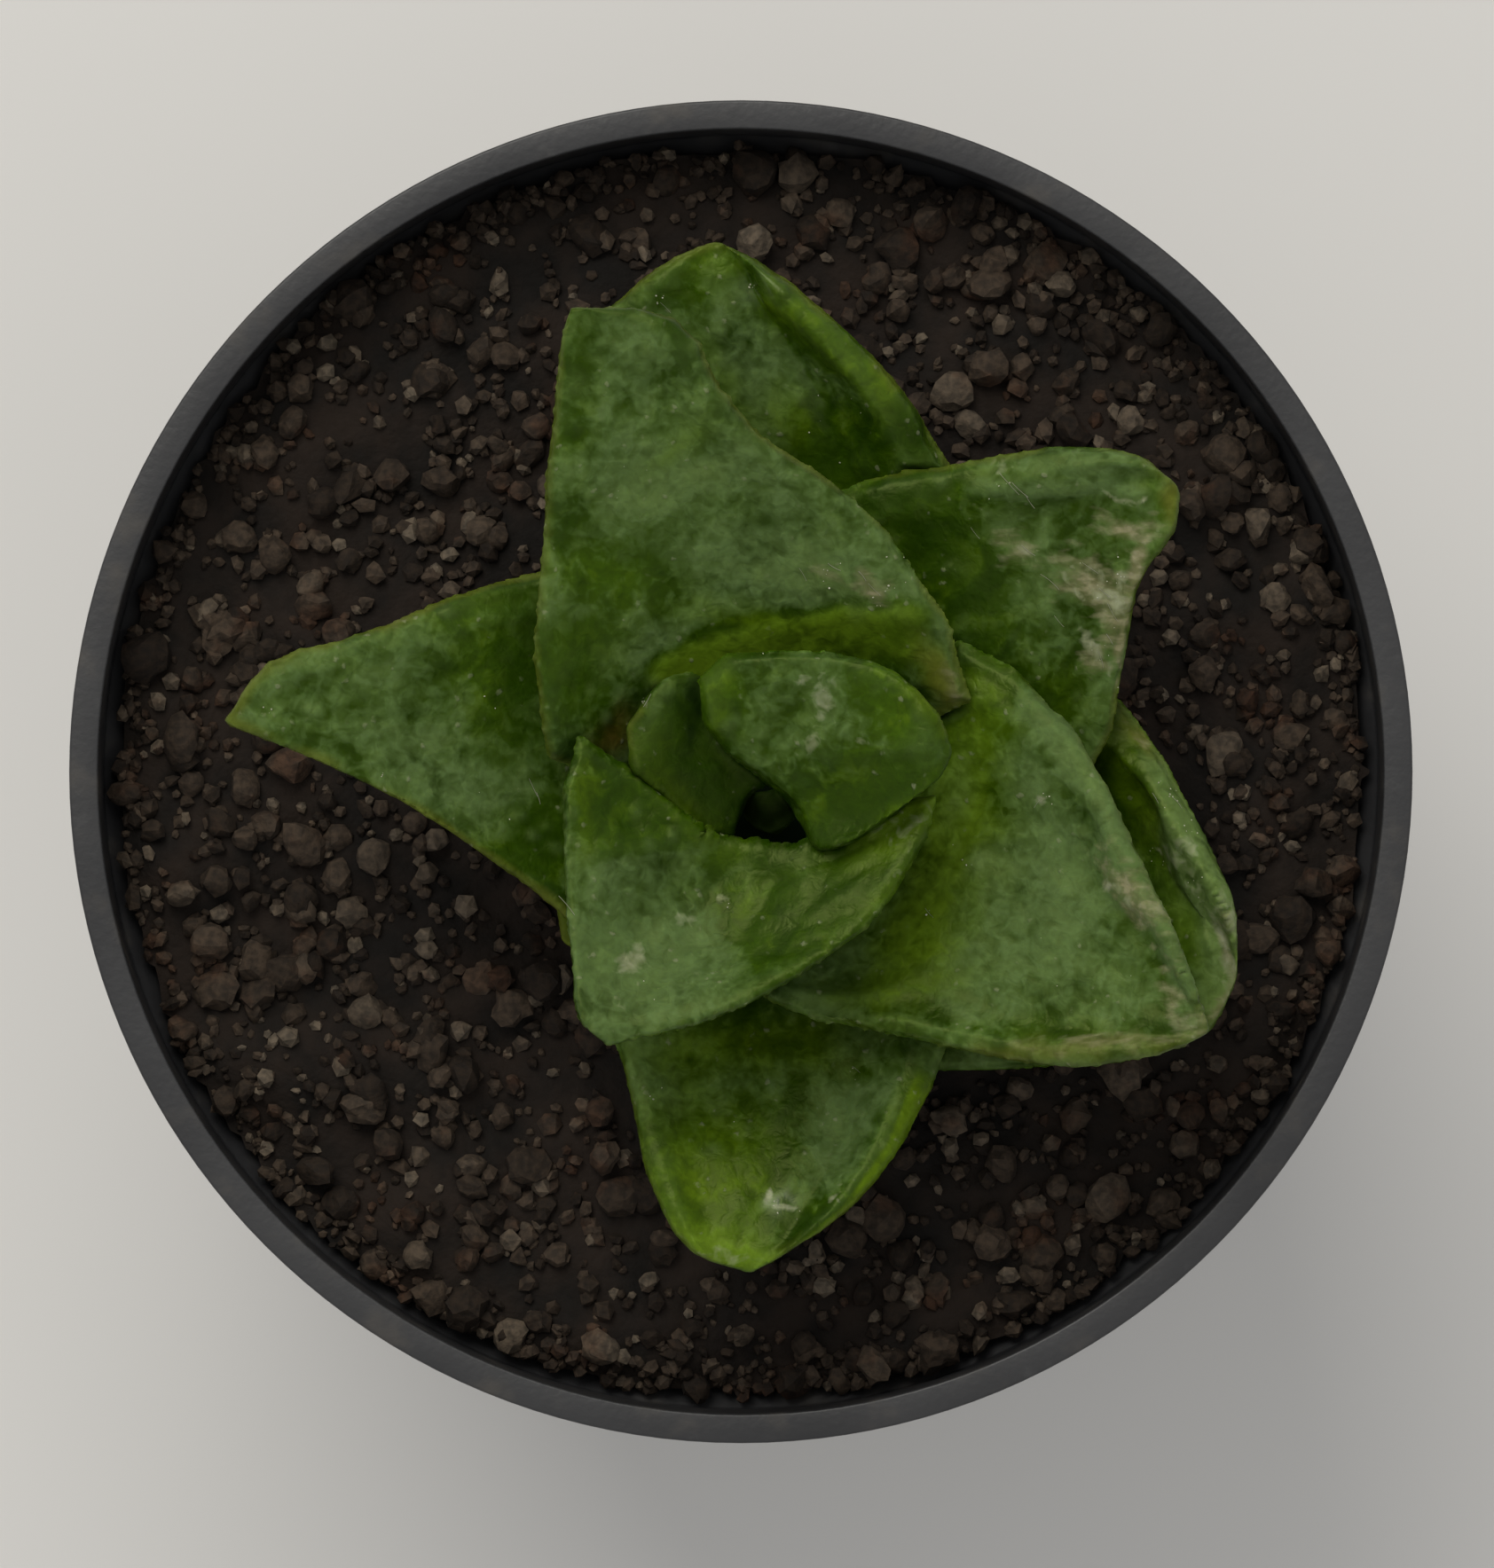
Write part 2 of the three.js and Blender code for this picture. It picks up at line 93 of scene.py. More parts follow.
def pick(piece):
    deselectAll()
    piece.select_set(True)
    bpy.context.view_layer.objects.active = piece


def newObject(name, data):
    piece = bpy.data.objects.new(name, data)
    bpy.context.collection.objects.link(piece)
    return piece


def addModifier(piece, kind, **settings):
    pick(piece)
    modifier = piece.modifiers.new(kind.title(), kind)
    for name, value in settings.items():
        setattr(modifier, name, value)
    bpy.ops.object.modifier_apply(modifier=modifier.name)


def joinAll(name, pieces):
    deselectAll()
    for piece in pieces:
        piece.select_set(True)
    bpy.context.view_layer.objects.active = pieces[0]
    bpy.ops.object.join()
    pieces[0].name = name
    return pieces[0]


# Edit-mode operators with their settings, each run on the whole of a piece
def shapeAll(piece, *steps):
    pick(piece)
    bpy.ops.object.mode_set(mode="EDIT")
    for operator, settings in steps:
        bpy.ops.mesh.select_all(action="SELECT")
        operator(**settings)
    bpy.ops.object.mode_set(mode="OBJECT")


# A copy of a CAD node as one merged mesh of its own
def copyNode(node, name):
    piece = newObject(name, frame["nodes"][node].data.copy())
    shapeAll(piece, (bpy.ops.mesh.remove_doubles, {"threshold": 0.01 * mm}))
    if piece.data.has_custom_normals:
        bpy.ops.mesh.customdata_custom_splitnormals_clear()
    return piece


# Remeshing can leave a crumb beside a thin edge: all goes but the part that the lowest point is on
def dropCrumbs(piece):
    pick(piece)
    bpy.ops.object.mode_set(mode="EDIT")
    bpy.ops.mesh.select_all(action="DESELECT")
    bpy.ops.object.mode_set(mode="OBJECT")
    lowest = int(readPoints(piece.data)[:, 2].argmin())
    piece.data.vertices[lowest].select = True
    bpy.ops.object.mode_set(mode="EDIT")
    bpy.ops.mesh.select_linked()
    bpy.ops.mesh.select_all(action="INVERT")
    bpy.ops.mesh.delete(type="VERT")
    bpy.ops.object.mode_set(mode="OBJECT")


def readPoints(mesh):
    points = np.empty(len(mesh.vertices) * 3, np.float32)
    mesh.vertices.foreach_get("co", points)
    return points.reshape(-1, 3).astype(float)


def writePoints(mesh, points):
    mesh.vertices.foreach_set("co", points.astype(np.float32).ravel())
    mesh.update()


def readNormals(mesh):
    normals = np.empty(len(mesh.vertices) * 3, np.float32)
    mesh.vertex_normals.foreach_get("vector", normals)
    return normals.reshape(-1, 3).astype(float)


def writeAttribute(mesh, name, values):
    values = np.asarray(values, np.float32)
    kind, field = ("FLOAT", "value") if values.ndim == 1 else ("FLOAT_VECTOR", "vector")
    layer = mesh.attributes.get(name) or mesh.attributes.new(name, kind, "POINT")
    layer.data.foreach_set(field, values.ravel())


# The mean of each point's neighbours along the edges
def neighbourMean(mesh):
    ends = np.empty(len(mesh.edges) * 2, np.int32)
    mesh.edges.foreach_get("vertices", ends)
    a, b = ends.reshape(-1, 2).T
    count = len(mesh.vertices)
    degree = np.maximum(np.bincount(a, minlength=count) + np.bincount(b, minlength=count), 1)

    def mean(values):
        columns = values.reshape(count, -1)
        total = np.stack([
            np.bincount(a, columns[b, k], count) + np.bincount(b, columns[a, k], count)
            for k in range(columns.shape[1])], axis=1)
        return (total / degree[:, None]).reshape(values.shape)

    return mean


# Rounds off the facets and keeps the volume: each step in is followed by a slightly longer one out
def relax(mesh, rounds, inward=0.5, outward=-0.53):
    mean = neighbourMean(mesh)
    points = readPoints(mesh)
    for _ in range(rounds):
        for step in (inward, outward):
            points += step * (mean(points) - points)
    writePoints(mesh, points)


# Noise on points: smooth lumps and round cells of a given size, the same on every run

# A number from 0 to 1 for each cell of a grid, well mixed by large primes
def lattice(cell, seed):
    x, y, z = cell.astype(np.int64).T
    mixed = (x * 73856093) ^ (y * 19349663) ^ (z * 83492791) ^ (seed * 2654435761)
    mixed = (mixed ^ (mixed >> 13)) * 1274126177
    return ((mixed ^ (mixed >> 16)) & 0xFFFFFF) / 0xFFFFFF


def lumps(points, size, seed):
    scaled = points / size
    low = np.floor(scaled)
    share = scaled - low
    share = share * share * (3 - 2 * share)
    total = np.zeros(len(points))
    for corner in map(np.array, product((0, 1), repeat=3)):
        weight = np.prod(np.where(corner, share, 1 - share), axis=1)
        total += weight * lattice(low + corner, seed)
    return total * 2 - 1


def cells(points, size, seed):
    scaled = points / size
    low = np.floor(scaled)
    nearest = np.full(len(points), np.inf)
    for step in map(np.array, product((-1, 0, 1), repeat=3)):
        cell = low + step
        heart = cell + np.stack([lattice(cell, seed + k) for k in range(3)], axis=1)
        nearest = np.minimum(nearest, np.linalg.norm(scaled - heart, axis=1))
    return nearest * size


def fade(values, start, end):
    share = np.clip((values - start) / (end - start), 0, 1)
    return share * share * (3 - 2 * share)


# Shader maths: a wrapped socket that takes the usual operators

class Wire:
    def __init__(self, tree, socket):
        self.tree = tree
        self.socket = socket

    def math(self, operation, *others, clamp=False):
        settings = {"operation": operation, "use_clamp": clamp}
        return node(self.tree, "ShaderNodeMath", settings, dict(enumerate((self, *others))))

    def __add__(self, other):
        return self.math("ADD", other)

    __radd__ = __add__

    def __mul__(self, other):
        return self.math("MULTIPLY", other)

    __rmul__ = __mul__

    def __sub__(self, other):
        return self.math("SUBTRACT", other)

    def __rsub__(self, other):
        return (self * -1) + other

    def clamp(self):
        return self.math("ADD", 0, clamp=True)

    def step(self, low, high):
        inputs = {0: self, 1: low, 2: high}
        return node(self.tree, "ShaderNodeMapRange", {"interpolation_type": "SMOOTHSTEP"}, inputs)


def node(tree, kind, settings=None, inputs=None, output=0):
    made = tree.nodes.new(kind)
    for name, value in (settings or {}).items():
        setattr(made, name, value)
    for name, value in (inputs or {}).items():
        if isinstance(value, Wire):
            tree.links.new(value.socket, made.inputs[name])
        else:
            made.inputs[name].default_value = value
    return Wire(tree, made.outputs[output])


def mix(factor, low, high, blend="MIX"):
    settings = {"data_type": "RGBA", "blend_type": blend}
    tree = next(item.tree for item in (factor, low, high) if isinstance(item, Wire))
    inputs = {0: factor, 6: low, 7: high}
    for key in (6, 7):
        if not isinstance(inputs[key], Wire):
            inputs[key] = (*inputs[key], 1)
    return node(tree, "ShaderNodeMix", settings, inputs, 2)


def attribute(tree, name, output=2):
    return node(tree, "ShaderNodeAttribute", {"attribute_name": name}, output=output)


# Noise of a size in mm on Object coordinates, or on a vector attribute that follows the piece
def noise(tree, size, detail=3, stretch=(1, 1, 1), turn=0, shift=0, along=None, distortion=0):
    place = attribute(tree, along, 1) if along else node(tree, "ShaderNodeTexCoord", output=3)
    scale = tuple(part / (size * mm) for part in stretch)
    inputs = {0: place, 1: (shift, shift, shift), 2: (0, 0, turn), 3: scale}
    mapped = node(tree, "ShaderNodeMapping", None, inputs)
    inputs = {"Vector": mapped, "Scale": 1, "Detail": detail, "Distortion": distortion}
    return node(tree, "ShaderNodeTexNoise", None, inputs)


def voronoi(tree, size):
    inputs = {"Vector": node(tree, "ShaderNodeTexCoord", output=3), "Scale": 1 / (size * mm)}
    return node(tree, "ShaderNodeTexVoronoi", None, inputs)


def bump(height, distance, normal=None):
    inputs = {"Height": height, "Distance": distance * mm, "Strength": 1}
    if normal:
        inputs["Normal"] = normal
    return node(height.tree, "ShaderNodeBump", None, inputs)


# The material's nodes come from `build`, and what doesn't vary is set on the shader's own sockets
def newMaterial(name, build, **constants):
    material = bpy.data.materials.new(name)
    material.use_nodes = True
    tree = material.node_tree
    shader = tree.nodes["Principled BSDF"]
    for socket, value in {**constants, **build(tree)}.items():
        socket = shader.inputs[socket.replace("_", " ")]
        if isinstance(value, Wire):
            tree.links.new(value.socket, socket)
        else:
            socket.default_value = value
    return material


def coat(piece, material):
    piece.data.materials.clear()
    piece.data.materials.append(material)


# Leaves

leafShape = {
    "voxel": 0.14,  # mm, the size of the faces
    "rounds": 16,
    "foldSoftness": 7,
    "foldEnd": 0.12,  # share of a fold's line over which it fades in and out
    "raggedSize": 0.8,  # the wavering of the edges of tones
    "raggedShift": 0.35,
    "wobbleSize": 1.1,
    "wobble": 0.35,
    "rimWidth": 0.9,
    "rimPatches": 2.2,  # size of the stretches of a margin that are yellow
    "wallNormal": 0.35,  # how upright a face is before it counts as a margin
    "coverReach": 8,
    "tuckShadeReach": 1.8,  # how far out from under another leaf the skin gets painted shade and less bloom
    "tuckShadeStep": 0.1,
    "undulation": [(3.6, 0.2), (1.5, 0.13), (0.7, 0.04), (0.32, 0.01)],  # size and height in mm
    "stretch": 0.75,  # undulation and bumps are longer along the leaf than across it
    "flatness": 0.35,
    "undersideShare": 0.4,  # how much of the undulation the undersides get
    "settleReach": 0.6,  # leaves that nearly touch swell towards each other
    "settle": 0.14,
    "settleShare": 0.45,
    "bumpSpacing": 1.3,
    "bumpRadius": 0.42,
    "bumpHeight": 0.1,
    "bumpPatches": 2.5,  # size of the areas that have bumps
    "toothSpacing": 0.5,
    "toothRadius": 0.26,
    "toothHeight": 0.1,
    "ridgeRounds": 14,  # how broad the ground is that ridges stand out from
    "ridgeHeight": 0.06,
}

# How each leaf differs: how strong its bumps, its teeth, its bloom, its yellow rim, partly a painted glow,
# and its painted shade are
leafLooks = {
    "leaf_01": (0, 0, 0, 0, 0.6),
    "leaf_02": (0.3, 0.2, 0.1, 0.25, 0.25),
    "leaf_03": (0.6, 0.3, 0.36, 0.15, 0),
    "leaf_04": (0.7, 0.8, 0.55, 0.3, 0),
    "leaf_05": (1, 1, 0.45, 0.7, 0),
    "leaf_06": (1, 1, 0.55, 0.5, 0),
    "leaf_07": (0.9, 0.4, 0.42, 1, 0),
    "leaf_08": (0.9, 0.4, 0.4, 0.7, 0),
    "leaf_09": (0.7, 0.3, 0.4, 0.55, 0),
    "leaf_10": (0.8, 0.4, 0.33, 0.8, 0),
    "leaf_11": (0.8, 0.5, 0.6, 0.45, 0),
    "leaf_12": (0.4, 0.3, 0.3, 0.9, 0),
}

# Folds across a face: the photograph's points that the crest runs through, its height in mm, how far
# it slopes off to the left and to the right of the line, and the tones beside it: kind, how far it
# reaches to the left and to the right in mm, strength
# Most dark tones beside a crease are painted shade in it, and some light ones are painted light
leafFolds = {
    "leaf_02": [
        {"line": [(712, 852), (745, 868), (785, 872), (820, 868)],
         "height": 0.2, "slopes": (1, 1),
         "paint": [("bloom", 0.8, 0, 0.3), ("deepGreenAndShade", 0, 1.4, 0.5)]}],
    "leaf_03": [
        {"line": [(918, 868), (945, 851), (1000, 843), (1040, 846), (1068, 853)],
         "height": 0.4, "slopes": (2.6, 1.8),
         "paint": [("deepGreenAndShade", 0, 1, 0.5), ("green", 0.3, 3.6, 0.7)]}],
    "leaf_04": [
        {"line": [(640, 972), (700, 958), (775, 949), (840, 953), (885, 974), (940, 968)],
         "height": 0.55, "slopes": (1.8, 3.4),
         "paint": [("deepGreenAndShade", 5.5, 0.4, 0.4), ("green", 6, 0.5, 0.9), ("bloom", 0.1, 3.2, 0.4)]},
        {"line": [(800, 1040), (880, 1010), (960, 965), (1060, 900)],
         "height": 0.12, "slopes": (2, 3),
         "paint": [("green", 2.4, 4, 1), ("deepGreenAndShade", 0.2, 3, 0.35)]}],
    "leaf_05": [
        # The lime tone beside this crest is painted light on the strip between it and the inner leaves,
        # which faces away from the lamp
        {"line": [(720, 768), (790, 734), (860, 710), (960, 692), (1060, 700)],
         "height": 0.15, "slopes": (3, 2.6),
         "paint": [("limeAndPaintedLight", 0.6, 2.4, 1), ("olive", 0.3, 2.4, 0.2), ("green", 1.2, 3, 1)]}],
    "leaf_06": [
        {"line": [(1140, 765), (1205, 840), (1250, 915), (1262, 1000), (1305, 1030), (1338, 1095),
                  (1350, 1150)],
         "height": 0.3, "slopes": (0.7, 0.9),
         "paint": [("bloom", 0.9, 1, 1), ("green", 0.1, 2.2, 0.3)]},
        {"line": [(880, 1118), (950, 1122), (1040, 1112), (1110, 1150)],
         "height": 0.24, "slopes": (0.9, 0.6),
         "paint": [("deepGreenAndShade", 0.9, 0.1, 0.3), ("bloom", 0.1, 0.5, 0.5)]}],
    "leaf_08": [
        {"line": [(1070, 548), (1110, 550), (1150, 557), (1200, 552), (1250, 551), (1288, 562),
                  (1296, 600)],
         "height": 0.25, "slopes": (1.2, 1.2),
         "paint": [("bloom", 0.7, 0.4, 0.8), ("deepGreenAndShade", 0, 0.9, 0.2)]}],
    "leaf_09": [
        {"line": [(1040, 1200), (1002, 1290), (955, 1360), (890, 1412)],
         "height": 0.12, "slopes": (0.8, 0.6),
         "paint": [("bright", 1.4, 0.1, 1), ("deepGreenAndShade", 0, 0.4, 0.3), ("green", 1.4, 1, 0.8)]}],
    "leaf_10": [
        {"line": [(845, 310), (890, 345), (940, 385), (1000, 445), (1045, 500)],
         "height": 0.35, "slopes": (1.2, 0.9),
         "paint": [("bright", 0.7, 0.9, 0.35), ("green", 2.4, 1.2, 1), ("deepGreenAndShade", 2.2, 0, 0.15)]}],
    "leaf_11": [
        {"line": [(1283, 835), (1312, 905), (1334, 975), (1360, 1030), (1374, 1100)],
         "height": 0.35, "slopes": (1, 0.8),
         "paint": [("bump", 2.6, 0.2, 1.1), ("deepGreenAndShade", 0, 0.4, 0.4), ("green", 0, 2.6, 1)]}],
}

# Patches on the upper faces, by kind: the photograph's x and y, half length and half width in mm, turn
# of the long side in degrees, strength
# Many patches stand partly for light and shade: dark ones beside a covering leaf and round the well are
# painted shade, light ones in shaded places painted light, and a few small pale ones painted glints
leafPatches = {
    # This leaf lies low beside the next leaf's edge and the well: its dark patches are painted shadow and
    # its deep ones painted shade
    "leaf_02": {
        "paintedShadow": [(783, 795, 2.2, 0.45, 84, 1.1), (800, 905, 2.4, 1.3, 0, 0.4)],
        "olive": [(765, 905, 1.8, 0.7, -40, 0.6)],
        "bright": [(735, 860, 1.2, 0.4, 80, 0.6)],
        "bump": [(738, 800, 1.3, 0.4, 78, 0.4)],
        "yellow": [(716, 820, 1.2, 0.14, 86, 0.6)],
        "deepGreenAndShade": [(770, 880, 2.8, 1.8, -30, 0.9)],
        "green": [(770, 880, 3.4, 2.2, -30, 1)],
        "bloom": [(738, 800, 1, 0.5, 70, 0.3)]},
    "leaf_03": {
        "pale": [(930, 790, 1.1, 0.6, 100, 0.6), (915, 838, 0.6, 0.35, 60, 0.9),
            (905, 770, 0.4, 0.25, 30, 0.5), (975, 832, 0.4, 0.16, 0, 0.7)],
        "green": [(965, 925, 3.4, 1.8, 40, 1.6), (812, 780, 0.8, 2.4, 0, 1),
            (1025, 790, 2.2, 1.3, -45, 1.7)],
        # Painted shade on the low side of the crease and towards the well
        "deepGreenAndShade": [(950, 930, 2.6, 1.1, 40, 1.1), (1010, 890, 2.2, 0.9, 30, 0.8),
            (1030, 800, 0.9, 0.5, -45, 0.4), (900, 742, 1.8, 0.3, 0, 0.5), (870, 815, 1.4, 0.8, 60, 0.25)],
        "yellow": [(1052, 800, 1.3, 0.22, -62, 0.5)],
        "bright": [(1040, 790, 1.3, 0.4, -58, 0.8), (808, 800, 1.6, 0.4, 84, 0.4)]},
    "leaf_04": {
        # Mostly painted shade round the well and beside the next leaf's edge
        "deepGreenAndShade": [(745, 925, 1.6, 0.3, -42, 1.1), (940, 1015, 3.2, 1.2, 45, 0.95),
            (885, 972, 1.9, 0.8, 8, 1.2), (830, 955, 1.3, 0.35, 0, 1), (935, 1030, 2.2, 0.7, 45, 0.3),
            (740, 1010, 2, 0.8, 10, 0.3)],
        # The first is a painted glint, the last is painted light on the wing tip in the next leaf's shade
        "pale": [(715, 1085, 0.8, 0.4, 45, 0.9), (820, 1018, 0.28, 0.22, 0, 0.9),
            (770, 1040, 0.6, 0.35, 30, 0.45), (700, 1130, 0.5, 0.3, 80, 0.35),
            (1020, 930, 1.6, 0.6, 42, 0.4)],
        "bloom": [(720, 1090, 3.4, 2.2, 30, 0.9)],
        "green": [(930, 1030, 3.8, 1.6, 42, 1), (850, 965, 2.6, 1, 0, 1.4)],
        # The lime patch and the first bright one are painted light on the wing tip in the next leaf's
        # shade
        "limeAndPaintedLight": [(1010, 935, 2.4, 0.45, 42, 1.3)],
        "bright": [(1016, 932, 1.9, 0.7, 42, 1.3), (822, 958, 0.7, 0.4, 0, 0.5),
            (1000, 1000, 1.8, 0.35, 48, 0.5), (660, 900, 2, 0.35, 84, 0.5)]},
    "leaf_05": {
        "deepGreenAndShade": [(660, 385, 1.4, 1, 80, 0.6), (730, 628, 1.3, 0.7, 10, 0.8),
            (862, 592, 0.6, 0.4, 0, 0.8), (650, 720, 2, 1.4, 80, 0.5), (700, 356, 2.6, 0.4, 0, 0.8),
            (760, 370, 1.6, 0.6, -30, 0.5), (1025, 712, 1.4, 0.5, 10, 0.9)],
        "green": [(690, 650, 2.6, 1.2, 0, 0.8), (640, 480, 1, 4, 0, 0.4),
            (650, 740, 2.4, 1.6, 80, 0.8), (780, 350, 1.6, 1.4, 0, 0.9)],
        "bright": [(765, 505, 1.6, 0.6, 40, 0.35), (890, 702, 3, 0.4, -8, 0.8)],
        "bump": [(795, 532, 1, 0.4, 20, 0.9), (730, 560, 1.6, 0.6, 0, 0.5), (648, 440, 0.8, 0.5, 0, 0.3),
            (930, 655, 2.4, 0.7, -25, 0.6), (700, 735, 1.6, 0.8, 20, 0.3)],
        "bloom": [(715, 400, 1.6, 1, -30, 0.5), (740, 540, 3.4, 1.2, 0, 0.6),
            (880, 560, 2.4, 1.4, -50, 0.4), (890, 645, 3.6, 1.5, -12, 1), (740, 730, 1.6, 0.8, 20, 0.5)],
        "limeAndPaintedLight": [(1055, 760, 1.4, 0.6, -60, 0.6)],
        "brown": [(1070, 782, 1.3, 0.6, -60, 0.7), (692, 828, 1.1, 0.65, 60, 0.9)],
        "dry": [(1076, 775, 1, 0.4, -70, 0.9), (990, 662, 1.1, 0.6, -45, 0.8),
            (925, 640, 1.2, 0.4, -40, 0.4)],
        "yellow": [(1058, 765, 1.4, 0.6, -60, 0.9)]},
    "leaf_06": {
        "green": [(1100, 800, 3, 1.8, 80, 1.2), (1085, 930, 4, 1.4, 80, 0.5),
            (1040, 1060, 3, 1.4, 60, 0.4), (1150, 1165, 5, 0.6, 0, 0.6)],
        # The middle two bright patches and the lime ones are painted light where this leaf lies in shade
        "bright": [(1102, 805, 1.8, 0.8, 80, 0.6), (1080, 930, 3.8, 1.5, 78, 1.1),
            (1045, 1040, 3.6, 1.6, 65, 1.1), (1010, 1110, 2.6, 0.9, 10, 1)],
        "limeAndPaintedLight": [(1110, 800, 2.4, 1.2, 80, 0.35), (1055, 990, 3.6, 1, 68, 1),
            (1000, 1100, 2, 0.5, 20, 0.5)],
        "deepGreenAndShade": [(1118, 752, 1.4, 0.5, -50, 0.6)],
        "bloom": [(1060, 1000, 3, 1, 68, 0.3), (1075, 1100, 1.8, 1.2, 30, 0.4),
            (1200, 990, 3.6, 1.8, 80, 0.7), (1165, 860, 1.6, 0.7, -55, 0.5)],
        "bump": [(1080, 900, 2, 0.6, 80, 0.4), (1110, 970, 0.9, 0.5, 20, 0.7),
            (1120, 1010, 0.7, 0.5, 20, 0.5), (1230, 870, 1.6, 0.6, -50, 0.5)],
        "pale": [(1255, 1000, 0.6, 0.35, -30, 0.9), (1270, 1010, 0.8, 0.3, -40, 0.6),
            (1175, 900, 0.35, 0.16, 60, 0.8)],
        "dry": [(1275, 1010, 2.2, 0.7, -60, 0.8), (1325, 1120, 2.2, 0.6, -70, 0.5),
            (1350, 1155, 1, 0.6, 20, 0.5), (1240, 1176, 4, 0.4, 5, 0.8)],
        "yellow": [(1180, 1184, 5.5, 0.4, 3, 0.6)]},
    "leaf_07": {
        # Painted shade beside the covering leaf's margin
        "deepGreenAndShade": [(590, 760, 3.4, 1.2, 80, 0.8), (600, 950, 1.6, 1.2, 60, 0.9),
            (560, 668, 2.2, 0.5, 12, 0.7)],
        "green": [(560, 740, 3.6, 2, 80, 0.8), (600, 950, 2, 1.6, 60, 1),
            (530, 690, 1.6, 0.8, 10, 0.8)],
        "bloom": [(430, 790, 3, 1.3, -10, 0.2), (510, 880, 3.6, 1.3, -28, 0.7)],
        "bright": [(545, 672, 1.2, 0.5, 10, 0.5)],
        "dry": [(455, 703, 0.7, 0.3, 20, 0.6)]},
    "leaf_08": {
        "dry": [(1235, 660, 2.4, 1.1, -35, 0.85), (1150, 622, 1.6, 0.7, -30, 0.6),
            (1262, 690, 2.2, 0.8, 75, 0.8), (1270, 592, 1.4, 0.5, -10, 0.8),
            (1238, 742, 1.2, 0.6, 65, 0.7), (1286, 640, 1.8, 0.4, 75, 1.1), (1270, 720, 2.4, 0.3, 84, 1)],
        "pale": [(1235, 732, 1, 0.3, -65, 0.9), (1250, 672, 0.9, 0.35, -40, 1),
            (1238, 645, 0.8, 0.25, -50, 0.9), (1215, 668, 0.9, 0.16, -50, 0.8),
            (1268, 655, 0.8, 0.2, 60, 0.7), (1155, 622, 0.6, 0.2, -30, 0.6), (1290, 560, 0.3, 0.2, 0, 1),
            (1262, 556, 0.8, 0.16, -20, 0.7), (1128, 520, 0.6, 0.3, -50, 0.6)],
        "bloom": [(1230, 525, 2.8, 0.7, -5, 0.5), (1180, 660, 2.8, 1.8, -40, 0.4)],
        "yellow": [(1322, 560, 1.1, 0.35, 90, 1)],
        "green": [(1300, 570, 1, 0.8, 90, 0.8), (1060, 620, 4.4, 2, -50, 0.9),
            (1030, 548, 3, 1, 0, 1.3)],
        # Painted shade beside the covering leaf's margin and along the upper edge
        "deepGreenAndShade": [(1050, 610, 3.6, 1.3, -50, 0.8), (1005, 556, 2.6, 0.5, 8, 1.4)],
        "bright": [(1200, 780, 1.4, 0.8, -50, 0.4)]},
    "leaf_09": {
        "green": [(860, 1180, 4.4, 1.6, 0, 0.5), (800, 1340, 3.6, 2.8, 60, 1)],
        # The lime patches are painted light at the shaded top and foot
        "limeAndPaintedLight": [(770, 1220, 2.8, 1.3, 70, 0.5), (805, 1412, 2.4, 0.7, -12, 1.5),
            (765, 1395, 0.9, 0.4, -50, 0.9)],
        "olive": [(890, 1170, 3.4, 0.6, 0, 0.5)],
        # The first bright and the first bloom patch are painted light on the top, in the shade of the
        # leaves above
        "bright": [(850, 1190, 4.4, 1, 0, 0.55), (800, 1330, 3.2, 2.2, 60, 0.6),
            (800, 1395, 2.4, 1, -20, 0.7)],
        "bloom": [(850, 1200, 4, 1, 0, 0.35), (740, 1225, 1.8, 0.9, -60, 0.6),
            (960, 1180, 1.6, 1, 20, 0.5), (950, 1270, 1.6, 1.2, 60, 0.5), (940, 1300, 1.8, 1.6, 20, 0.5)],
        # The first is painted light on the shaded foot, the three small ones a painted glint
        "pale": [(803, 1418, 1.8, 0.5, -12, 0.5), (868, 1352, 0.42, 0.13, 105, 1.3),
            (882, 1368, 0.36, 0.13, 10, 1.1), (945, 1350, 0.3, 0.12, 50, 0.8)],
        "yellow": [(800, 1430, 2.2, 0.2, -12, 0.3)],
        "bump": [(800, 1300, 0.5, 0.35, 0, 0.5)],
        "dry": [(940, 1400, 2.4, 0.4, 30, 0.6)],
        "gloss": [(880, 1357, 0.6, 0.4, 70, 0.5)]},
    "leaf_10": {
        "deepGreenAndShade": [(930, 520, 2.6, 1, -10, 0.7), (765, 335, 1, 0.5, 10, 0.6),
            (820, 310, 1.2, 0.5, 0, 0.5), (1025, 482, 1.4, 0.7, -45, 1.1)],
        "bright": [(890, 470, 1.6, 1, -50, 0.5), (800, 290, 1.6, 0.8, 10, 0.1)],
        "green": [(950, 510, 4, 1.8, -30, 0.9), (800, 300, 2.4, 1.2, 10, 0.7),
            (1030, 480, 1.4, 0.8, -45, 1)],
        "limeAndPaintedLight": [(822, 435, 2.6, 0.5, -60, 0.4)],
        "bloom": [(845, 430, 2.8, 1.3, -60, 1), (900, 470, 1.6, 1, -50, 0.3)],
        "gloss": [(850, 325, 0.8, 0.5, 0, 0.6), (930, 430, 2.2, 1.4, -45, 0.3)]},
    "leaf_11": {
        "olive": [(1262, 860, 2.2, 0.8, -65, 0.5)],
        "deepGreenAndShade": [(1265, 855, 1.9, 0.7, -65, 0.9)],
        "dry": [(1293, 832, 1, 0.3, -55, 0.7), (1388, 1080, 2.4, 0.4, -85, 0.7),
            (1385, 1125, 0.9, 0.5, 60, 0.9)],
        "green": [(1268, 860, 2.8, 1.2, -65, 1.2)],
        "brown": [(1282, 815, 1.6, 0.4, -50, 0.5), (1372, 1150, 1.8, 0.5, 35, 0.3)],
        # The last bright patch is painted light in the valley shaded by the next leaf
